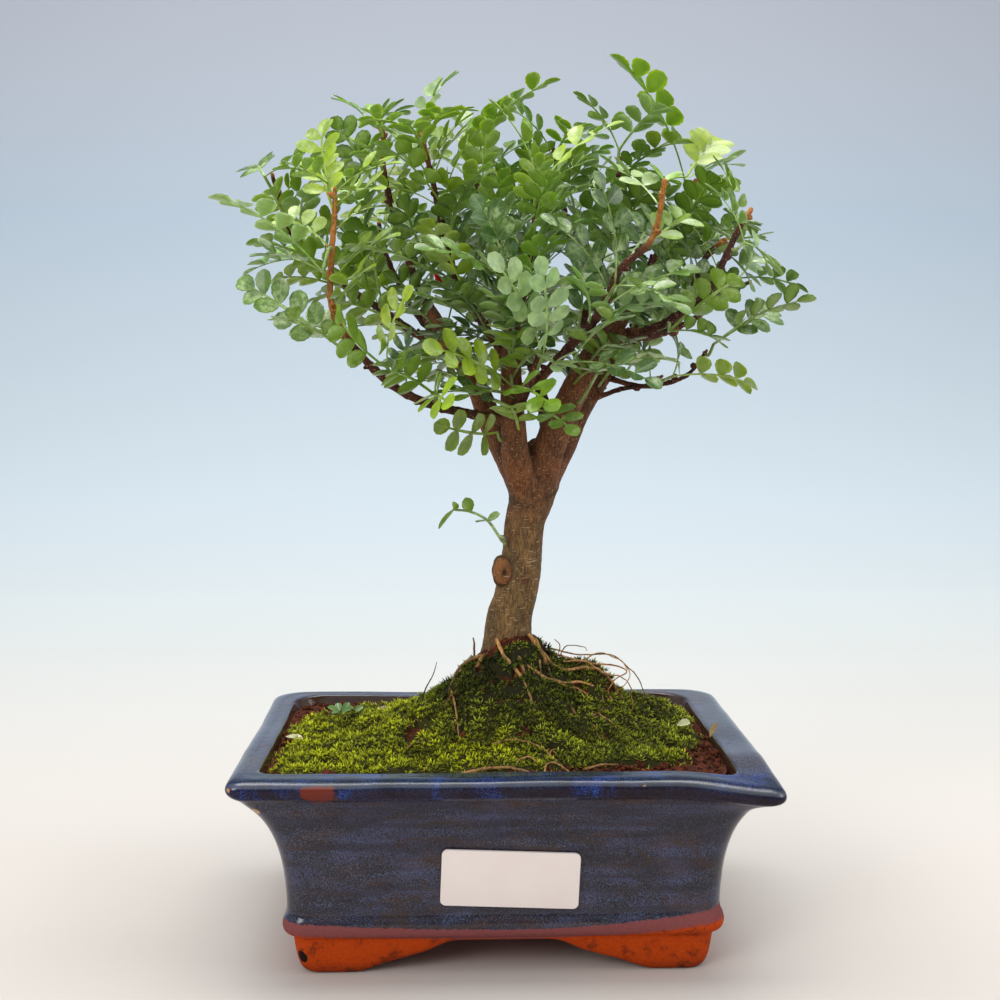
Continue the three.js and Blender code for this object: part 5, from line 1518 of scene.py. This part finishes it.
def leaf_material(name, sheen):
    soft = {"Subsurface_Weight": 0.15, "Subsurface_Scale": 0.001}
    surface = Surface(name, Roughness=0.32, Specular_IOR_Level=0.5, **soft)
    surface.shader.inputs["Subsurface Radius"].default_value = (0.6, 1.0, 0.2)
    tint = surface.attribute("tint").outputs["Color"]
    across, along, upper = surface.marks()
    position = surface.position()
    mottle = surface.noise(position, 0.3, 3.0, 0.55)
    rib = surface.between(across, 0.03, 0.13, 1, 0)
    wave = surface.math("MULTIPLY_ADD", along, 44.0, surface.times(across, -9.0))
    veins = surface.times(surface.between(surface.math("SINE", wave), 0.75, 1.0), 0.12)
    color = surface.mix(surface.between(mottle, 0.35, 0.7), (0.72, 0.75, 0.75), (1.25, 1.2, 1.1))
    color = surface.mix(1.0, tint, color, "MULTIPLY")
    light = surface.math("MAXIMUM", surface.times(rib, 0.3), veins)
    color = surface.mix(light, color, VEIN)
    # Painted reflection: a whitish sheen mixed into the colour in patches, weaker at the leaflets' edges; the
    # number sheen sets how much
    fine = surface.between(surface.noise(position, 0.7, 4.0, 0.6), 0.3, 0.68, 0.1, 1)
    sunny = surface.between(surface.noise(position, 0.11, 1.0), 0.44, 0.6, 0.15, 1)
    gloss = surface.times(surface.times(fine, sunny), sheen)
    edge = surface.between(across, 0.72, 0.95, 1, 0.15)
    color = surface.mix(surface.times(gloss, edge), color, PAINTED_LEAF_SHEEN)
    under = surface.mix(0.6, color, LEAF_UNDERSIDE)
    color = surface.mix(surface.between(upper, 0.1, 0.6), under, color)
    return surface.finish(color, height=surface.math("ADD", mottle, veins), bump=0.15, distance=0.2)


# The sprout on the trunk: its rib, and its leaflets by foot, direction, face, length and half width
SPROUT_RIB = [(1.5, -6.0, 119.5), (-0.3, -7.2, 121.8), (-4, -8.5, 127), (-9.2, -10, 129.8),
              (-14.4, -12, 130.6)]
SPROUT_LEAFLETS = [
    ((-4, -8.5, 127), (0.75, -0.35, 0.5), (-0.4, -0.6, 0.6), 4.6, 1.7),
    ((-4, -8.5, 127), (-0.85, -0.5, 0.0), (0.0, 0.05, 1.0), 4.2, 1.6),
    ((-9.2, -10, 129.8), (-0.25, -0.5, 0.75), (0.3, -0.8, -0.4), 5.4, 2.0),
    ((-9.2, -10, 129.8), (-0.3, 0.8, 0.3), (0.1, -0.2, 1.0), 5.0, 1.8),
    ((-14.2, -12, 130.6), (-0.66, -0.2, -0.7), (-0.6, 0.4, 0.6), 7.6, 2.0),
    ((-14.2, -12, 130.6), (0.15, -0.5, 0.55), (0.5, 0.6, 0.5), 3.6, 1.3),
]


def loose_leaflet(foot, direction, face, length, half, fold, droop, tone):
    """A leaflet with a foot, a direction and a face of its own."""
    direction = normal_of(np.array(direction))
    face = normal_of(np.array(face) - direction * float(direction.dot(face)))
    across = np.cross(face, direction)
    return leaflet(np.array(foot, float), direction, across, face, length, half, fold, droop, tone)


def make_sprout():
    sprout = Pieces()
    centres, shares = smooth_path(SPROUT_RIB, 0.6)
    sprout.add(*tube(centres, 0.55 - 0.2 * shares, 8), (0.16, 0.25, 0.05), (0.5, 0.5, 1))
    sprout.add(*tube([(1.0, -6.2, 121), (0.2, -7.0, 121.6)], [1.3, 0.8], 10), TWIG_BARK, (0.5, 0.5, 1))
    for blade in SPROUT_LEAFLETS:
        sprout.add(*loose_leaflet(*blade, math.radians(12), 0.08, np.array(TONES["f"]) * 0.9))
    return sprout


# The extra leaves' tips stay in this crown: its middle, its half sizes and its lowest height
CROWN_MIDDLE = np.array([0.0, 0.0, 206.0])
CROWN_HALF = np.array([86.0, 60.0, 57.0])
LOWEST_LEAF = 164.0
MORE_LEAVES_STEP = 3.2
MORE_LEAVES_TRIES = 4
MORE_LEAVES_TURNS = 5
LEAVES_A_PIECE = 16
PALE_SHARE = 0.2
# How strongly a leaf's face looks up
LEVEL_FACE = 2.6
# Inside to outside of the crown, where one tone gives way to the next: painted shade darkens the inner leaves
# and painted light brightens the upper and left ones
LIGHT_AND_SHADE_STEPS = (0.5, 0.82, 1.15)
# Branch, share of the way along it, tip and tone of each leaf that hangs at the front
FRONT_LEAVES = [
    ("frontLimb", 0.85, (0, -44, 184), "p"), ("frontLimb", 0.8, (10, -46, 184), "f"),
    ("frontLimb", 0.7, (14, -40, 171), "f"), ("frontLimb", 0.8, (-7, -46, 178), "m"),
    ("frontLimb", 0.65, (5, -38, 165), "f"), ("frontLimb", 0.95, (-3, -42, 193), "p"),
    ("frontLimb", 0.6, (-10, -38, 167), "m"), ("frontRight", 0.1, (16, -46, 191), "m"),
    ("frontLimb", 0.95, (-14, -36, 184), "d"), ("longLeft", 0.12, (-20, -44, 172), "f"),
    ("tallFront", 0.15, (-14, -28, 195), "m"), ("longLeft", 0.3, (-29, -42, 184), "m"),
    ("middleFront", 0.3, (4, -42, 200), "p"), ("frontRight", 0.2, (22, -46, 182), "d"),
    ("tallFront", 0.3, (-26, -20, 216), "y"), ("tallLeft", 0.6, (-40, -4, 240), "y"),
    ("tallFront", 0.6, (-8, -20, 236), "y"), ("tallFront", 0.8, (-34, -10, 250), "f"),
    ("middle", 0.6, (-12, -14, 236), "y"), ("farLeft", 0.7, (-62, -4, 226), "p"),
    ("leftLimb", 0.55, (-22, -18, 172), "m"), ("leftLimb", 0.7, (-34, -14, 176), "f"),
    ("leftLimb", 0.8, (-20, -20, 182), "d"), ("leftLimb", 0.9, (-38, -12, 188), "m"),
    ("frontLimb", 0.5, (-16, -30, 160), "m"), ("frontLimb", 0.7, (-16, -34, 176), "f"),
    ("frontLimb", 0.9, (6, -40, 178), "m"), ("frontLimb", 0.75, (18, -34, 178), "d"),
    ("longLeft", 0.2, (-26, -46, 164), "m"), ("longLeft", 0.35, (-38, -48, 176), "p"),
    ("longLeft", 0.45, (-34, -50, 182), "m"), ("longLeft", 0.1, (-14, -46, 168), "f"),
    ("frontLimb", 0.45, (0, -34, 170), "d"), ("frontLimb", 0.6, (8, -32, 172), "m"),
    ("frontLimb", 0.5, (-6, -36, 172), "m"), ("frontLimb", 0.4, (12, -30, 164), "f"),
    ("frontLimb", 0.7, (0, -36, 180), "f"), ("frontLimb", 0.65, (-12, -30, 178), "d"),
    ("rightLimb", 0.5, (18, -30, 176), "d"), ("rightLimb", 0.6, (26, -32, 182), "m"),
]
# Share of the way along each limb where its leaves begin; the trunk has none
LIMB_LEAVES_FROM = {"frontLimb": 0.5, "leftLimb": 0.4, "rightLimb": 0.6, "backLimb": 0.5}


def more_leaves(taken, random):
    """Leaves between the sprays: a few listed ones at the front, then wherever the branches have room."""
    found = []
    for name, share, tip, tone in FRONT_LEAVES:
        heart, _, radius = wood_place(name, share)
        tip = np.array(tip, float)
        base = heart + normal_of(tip - heart) * bark_radius(name, radius)
        leaf = clear_leaf(base, tip, taken, on_branch=True, upward=LEVEL_FACE)
        if leaf:
            taken = taken.extended(leaf[1])
            found.append((leaf[0], tone))
    for name in WOOD:
        if name == "trunk":
            continue
        length = samples_length(name)
        start = LIMB_LEAVES_FROM.get(name, 0.08)
        count = int(length * (1 - start) / MORE_LEAVES_STEP)
        for site in range(count):
            share = start + (1 - start) * (site + random.uniform(0.2, 0.9)) / count
            leaf = random_leaf(name, share, taken, random)
            if leaf:
                taken = taken.extended(leaf[1])
                found.append((leaf[0], leaf[2]))
    return found


def samples_length(name):
    return np.linalg.norm(np.diff(wood_samples(name)[0], axis=0), axis=1).sum()


def bark_radius(name, radius):
    return radius if name in LIMBS else radius * TWIG_SHARE + 0.2


def random_leaf(name, share, taken, random):
    """A leaf at this place of a branch with a tip inside the crown, or None if it finds no room."""
    for _ in range(MORE_LEAVES_TRIES):
        heart, grain, radius = wood_place(name, min(share, 0.999))
        outward = normal_of(heart - CROWN_CENTRE + (0, 0, 14)) + random.normal(0, 0.75, 3)
        outward = normal_of(outward - grain * float(grain.dot(outward)) * 0.7)
        base = heart + outward * bark_radius(name, radius)
        tip = base + normal_of(outward + (0, 0, 0.3)) * random.uniform(16, 28)
        lowest = LOWEST_LEAF + 13 * smoothstep(abs(tip[0] + 5), 18, 35) + 16 * smoothstep(tip[0], 35, 60)
        inside = np.linalg.norm((tip - CROWN_MIDDLE) / CROWN_HALF)
        if tip[2] < lowest or inside > 0.94:
            continue
        leaf = clear_leaf(base, tip, taken, MORE_LEAVES_TURNS, True, random.uniform(0.8, LEVEL_FACE))
        if leaf:
            # Painted light and shade: the tone is picked by how deep in the crown, how high and how far left
            # the leaf's tip is
            light = inside + (tip[2] - CROWN_MIDDLE[2]) / 75 - tip[0] / 130 + random.normal(0, 0.25)
            tone = "dmfy"[int(np.searchsorted(LIGHT_AND_SHADE_STEPS, light))]
            return (*leaf, "p" if tone in "dm" and random.uniform() < PALE_SHARE else tone)
    return None


SHOOT_GREEN = np.array([0.17, 0.25, 0.05])


def add_shoot(spray, foot, elbow, end):
    """A shoot that starts brown in the bark and turns green towards its leaves."""
    out = elbow - foot
    path = [foot - out * 0.6, foot + out * 0.3 + (end - foot) * 0.12, end]
    centres, shares = smooth_path([tuple(point) for point in path], 0.7)
    green = smoothstep(np.repeat(with_ends(shares), 8), 0.1, 0.5)[:, None]
    tint = LIMB_BARK * (1 - green) + SHOOT_GREEN * green
    spray.add(*tube(centres, 0.62 - 0.15 * shares, 8), tint, (0.5, 0.5, 1))


def make_leaves():
    """A piece for each of the part's sprays, one of them the sprout, and pieces of extra leaves."""
    random = np.random.RandomState(8)
    plans, taken = spray_plans()
    young = leaf_material("leaf_young", 0.15)
    grown = leaf_material("leaf_grown", 0.7)
    for i, (shoot, leaves) in enumerate(plans):
        if i == len(PLACED_SPRAYS) - 1:
            spray = make_sprout()
        else:
            spray = Pieces()
            add_shoot(spray, *shoot)
            for plan, tone in leaves:
                add_leaf(spray, plan, tone, random, TOP_LEAF_SCALE if i == 0 else 1)
        material, slot = (young, "young_leaf") if i % 4 == 0 else (grown, "leaf")
        spray.build("leaves_%02d" % (i + 1), material, slot, ["leaf_spray_%02d" % (i + 1)], sharp=70)
    extra = more_leaves(taken, random)
    for first in range(0, len(extra), LEAVES_A_PIECE):
        group = Pieces()
        for plan, tone in extra[first:first + LEAVES_A_PIECE]:
            add_leaf(group, plan, tone, random)
        group.build("leaves_more_%02d" % (first // LEAVES_A_PIECE + 1), grown, "leaf", sharp=70)


# Fine roots: radius, and places as x, y and height over the moss or, for loose ones, the height itself
LAID_ROOTS = [
    (0.62, [(-1, -7, 0.6), (1, -11, 0.5), (5, -14, 0.5), (8, -17, 0.2), (10, -20, -1)]),
    (0.62, [(9, -6, 0.5), (16, -6, 0.8), (21, -4, 1.4), (27, -2, 2.2), (33, 0, 2.2), (38, 1, 0.8),
            (41, 0, -1)]),
    (0.5, [(6, -12, 0.4), (13, -12, 0.5), (20, -8, 0.7), (26, -5, 0.8), (33, -4, 0.5), (38, -5, -0.8)]),
    (0.4, [(15, -10, 0.4), (20, -9, 0.5), (24, -7, 0.5), (28, -7, -0.5)]),
    (0.35, [(12, -11, 3.0), (12.3, -12.5, -0.5)]),
    (0.55, [(-6, -6, 0.6), (-10, -4, 2.5), (-13, -3, 2.8), (-15, -4, 1.0), (-16, -6, 0.3)]),
    (0.36, [(-16, -4, 0.5), (-15, -9, 0.5), (-14, -17, 0.6), (-13, -26, 0.4), (-13, -29, -0.8)]),
    (0.26, [(-15, -9, 0.4), (-17, -14, 0.7), (-15, -22, 0.5), (-14, -25, -0.5)]),
    (0.4, [(-8, -4, 0.5), (-8.2, -4, 7.5)]),
    (0.3, [(32, -5, 0.3), (32, -8, 0.5), (30, -11, 0.7), (28, -14, 0.9), (28, -17, 0.6), (30, -24, -0.4)]),
    (0.36, [(30, -11, 0.3), (34, -12, 0.5), (38, -15, -0.4)]),
    (0.6, [(-13, -48, -0.6), (-7, -46.5, 0.3), (-3, -46.3, 0.6), (2, -47, 0.7), (6, -48.5, 0.2),
           (9, -49, -0.8)]),
    (0.32, [(3, -47, -0.3), (4, -43, 1.2), (7, -42, 1.8), (9, -43, 1.2), (11, -45, -0.3)]),
    (0.28, [(11, -48, -0.3), (12, -45, 1.0), (14, -44, 1.3), (17, -46, 0.6), (19, -48, -0.5)]),
    (0.4, [(-3, -32, -0.3), (2, -32, 0.7), (7, -33, 0.9), (11, -35, 0.7), (14, -39, 0.5), (17, -44, -0.4)]),
    (0.26, [(12, -40, -0.2), (14, -36, 0.9), (16, -33, -0.2)]),
    (0.42, [(23, -44, -0.3), (28, -42.5, 0.6), (33, -39, -0.3)]),
    (0.3, [(-30, -30, -0.3), (-26, -27, 0.7), (-21, -26, -0.3)]),
    (0.34, [(-4, 9, 0.5), (-10, 16, 0.7), (-14, 24, 0.3), (-15, 30, -0.8)]),
    (0.4, [(8, 9, 0.6), (12, 17, 0.8), (18, 24, 0.4), (22, 31, -0.8)]),
]
LOOSE_ROOTS = [
    (0.28, [(10, 1, 84), (15, 2, 85.5), (20, 3, 84.3), (26, 3, 83.1), (34, 3, 83.3), (37, 3, 82.4),
            (40.5, 3, 79.6), (44.5, 4, 75.1), (47, 6, 68.5)]),
    (0.32, [(12, -1, 83), (18, 0, 83.6), (23.3, 0, 82.4), (30, 0, 80.8), (35.7, 0, 80.4),
            (39.4, 0, 79.2), (39.8, 0, 77.7), (36.7, -1, 76.2), (34, -2, 73)]),
    (0.26, [(20, -2, 82), (27, -1, 81.8), (30, -2, 79.6), (34.8, -2, 77.6), (37.9, -2, 77.1), (41, -1, 74),
            (42, 0, 66)]),
    (0.22, [(24, 1, 80), (31, 2, 83.8), (36, 2, 82.5), (39, 1, 81), (41, 1, 77.5), (40, 0, 74.5),
            (36, 0, 71)]),
    (0.2, [(18, 1, 82), (19, 1, 86.5), (17.5, 1, 88.5)]),
    (0.2, [(19, 1, 83), (21, 0, 86.5), (26, 0, 86.3), (27.5, 0, 85)]),
]
GRASS_BLADE = [(-25, 1, 66), (-23.5, 2, 72.2), (-21, 2, 77), (-19.7, 2, 81.2)]
MOSS_ON_SOIL = 1.2


def over_moss(path):
    return [(x, y, float(soil_height(x, y)) + MOSS_ON_SOIL + lift) for x, y, lift in path]


def make_roots():
    """Hair roots that lie on the moss or hang free of it, and one blade of dry grass."""
    random = np.random.RandomState(4)
    roots = Pieces()
    for radius, path in [(radius, over_moss(path)) for radius, path in LAID_ROOTS] + LOOSE_ROOTS:
        centres, shares = smooth_path(path, 0.6)
        centres = centres + noise_at(centres, 0.4, radius * 90)[:, None] * (0.35, -0.3, 0.3)
        widths = radius * (1.05 - 0.45 * shares) * (1 + 0.25 * noise_at(centres, 0.6, 3.0))
        tone = ROOT_BARK * random.uniform(0.7, 1.35)
        roots.add(*tube(centres, widths, 7), tone)
    centres, shares = smooth_path(GRASS_BLADE, 1.0)
    roots.add(*tube(centres, 0.3 - 0.2 * shares, 6), (0.02, 0.025, 0.015))
    roots.build("hair_roots", BARK, "bark")


# Scraps on the soil: foot, direction, face, length, half width and colour of each
SCRAPS = [
    ((-66.5, -6, 59.6), (0.95, -0.25, 0.0), (0, -0.4, 1), 5.6, 1.3, (0.62, 0.58, 0.36)),
    ((56, -2, 61.5), (0.9, -0.4, 0.25), (-0.2, -0.6, 1), 4.2, 1.8, (0.62, 0.60, 0.36)),
    ((65, -10, 59.5), (0.5, 0.3, 0.9), (-0.7, -0.5, 0.5), 5.0, 1.2, (0.34, 0.2, 0.08)),
    ((-40, 28, 60.5), (0.8, 0.2, -0.05), (0, -0.2, 1), 6.0, 1.7, (0.16, 0.05, 0.03)),
    ((-52, 20, 61.4), (-0.9, -0.2, 0.5), (0.3, -0.7, 1), 4.2, 1.3, (0.13, 0.24, 0.06)),
    ((-52, 20, 61.4), (-0.2, 0.9, 0.7), (0, -0.9, 0.5), 4.0, 1.3, (0.11, 0.21, 0.06)),
    ((-51, 19, 61.4), (0.9, -0.3, 0.5), (-0.3, -0.7, 1), 4.4, 1.35, (0.12, 0.23, 0.06)),
    ((-51, 19, 61.4), (0.6, 0.5, 0.8), (-0.3, -0.9, 0.5), 4.2, 1.25, (0.10, 0.2, 0.06)),
    ((-51.5, 18.6, 61.2), (0.1, -0.9, 0.25), (0, 0.1, 1), 4.0, 1.3, (0.14, 0.25, 0.07)),
    ((-51.5, 18.6, 61.2), (-0.7, -0.7, 0.2), (0.1, -0.1, 1), 3.6, 1.2, (0.12, 0.22, 0.06)),
    ((-47, 20, 61.4), (0.8, 0.3, 0.5), (-0.2, -0.8, 0.6), 3.4, 1.1, (0.13, 0.24, 0.06)),
    ((-47, 20, 61.4), (-0.3, -0.6, 0.5), (0.1, -0.5, 0.9), 3.2, 1.1, (0.12, 0.22, 0.06)),
]


def make_scraps():
    """Dry leaflets and husks on the soil, and one small weed."""
    scraps = Pieces()
    for *blade, tone in SCRAPS:
        scraps.add(*loose_leaflet(*blade, math.radians(25), 0.05, tone))
    scraps.build("leaf_scraps", leaf_material("leaf_dry", 0.1), "leaf", sharp=70)


BUD_STEP = 8
# A short cut twig in front of the front limb: its line and its radii
CUT_STUB = ([(4.7, -17, 160.8), (6.6, -21, 165.3), (8.5, -24, 170.3), (10.1, -25.5, 174.4),
             (11.5, -27, 178.4)],
            [1.7, 1.45, 1.3, 1.2, 1.35])
# Small knots on the trunk
KNOTS = [((11.2, -2, 128.5), (13.3, -2.5, 129)), ((9.6, -2, 106.5), (11.2, -2.5, 106)),
         ((8.8, -2, 103.5), (10.4, -2.5, 103)), ((18.8, -2, 145.5), (20.4, -2.5, 146.5))]
RED_BUD = ((-18.5, -9, 199.5), (-19.5, -11, 201))


def make_buds():
    """Knobs along the twigs where leaves grew before, knots on the trunk, a cut stub and one red bud."""
    random = np.random.RandomState(3)
    buds = Pieces()
    for name in WOOD:
        if name in LIMBS:
            continue
        count = int(samples_length(name) / BUD_STEP)
        for site in range(count):
            share = (site + random.uniform(0.2, 0.8)) / count
            heart, grain, radius = wood_place(name, share)
            outward = random.normal(0, 1, 3)
            outward = normal_of(outward - grain * float(outward.dot(grain)))
            end = heart + outward * (radius * TWIG_SHARE + random.uniform(0.4, 1.2)) + grain * 0.6
            tone = TAN_BARK if share > 1 - TAN_SHARE.get(name, 0) else TWIG_BARK
            bud = tube([heart, heart + (end - heart) * 0.6, end], [1.0, 0.95, 0.55], 8)
            buds.add(*bud, tone * random.uniform(0.7, 1.3))
    for knot in KNOTS:
        buds.add(*tube(knot, [1.15, 0.6], 10), TWIG_BARK * (1.5, 1.8, 1.8))
    buds.add(*tube(*CUT_STUB, 10), TWIG_BARK * 1.5)
    buds.add(*tube(RED_BUD, [0.9, 0.5], 8), (0.75, 0.004, 0.01))
    buds.build("twig_buds", BARK, "bark")


def make_nets():
    """The two drain nets stay as the part has them, in dark plastic."""
    surface = Surface("net_plastic", Specular_IOR_Level=0.4)
    grain = surface.noise(surface.position(), 1.2, 3.0, 0.6)
    color = surface.mix(grain, (0.008, 0.012, 0.009), (0.035, 0.045, 0.035))
    rough = surface.mix(grain, (0.35, 0.35, 0.35), (0.6, 0.6, 0.6))
    material = surface.finish(color, rough, grain, 0.15, 0.1)
    for name in ("drain_net_left", "drain_net_right"):
        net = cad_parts[name]
        net.material_slots[0].link = "OBJECT"
        net.material_slots[0].material = material


make_camera()
make_floor()
make_light()
make_pot()
make_label()
make_soil()
make_crumbs()
make_moss()
make_wood()
make_roots()
make_leaves()
make_buds()
make_scraps()
make_nets()
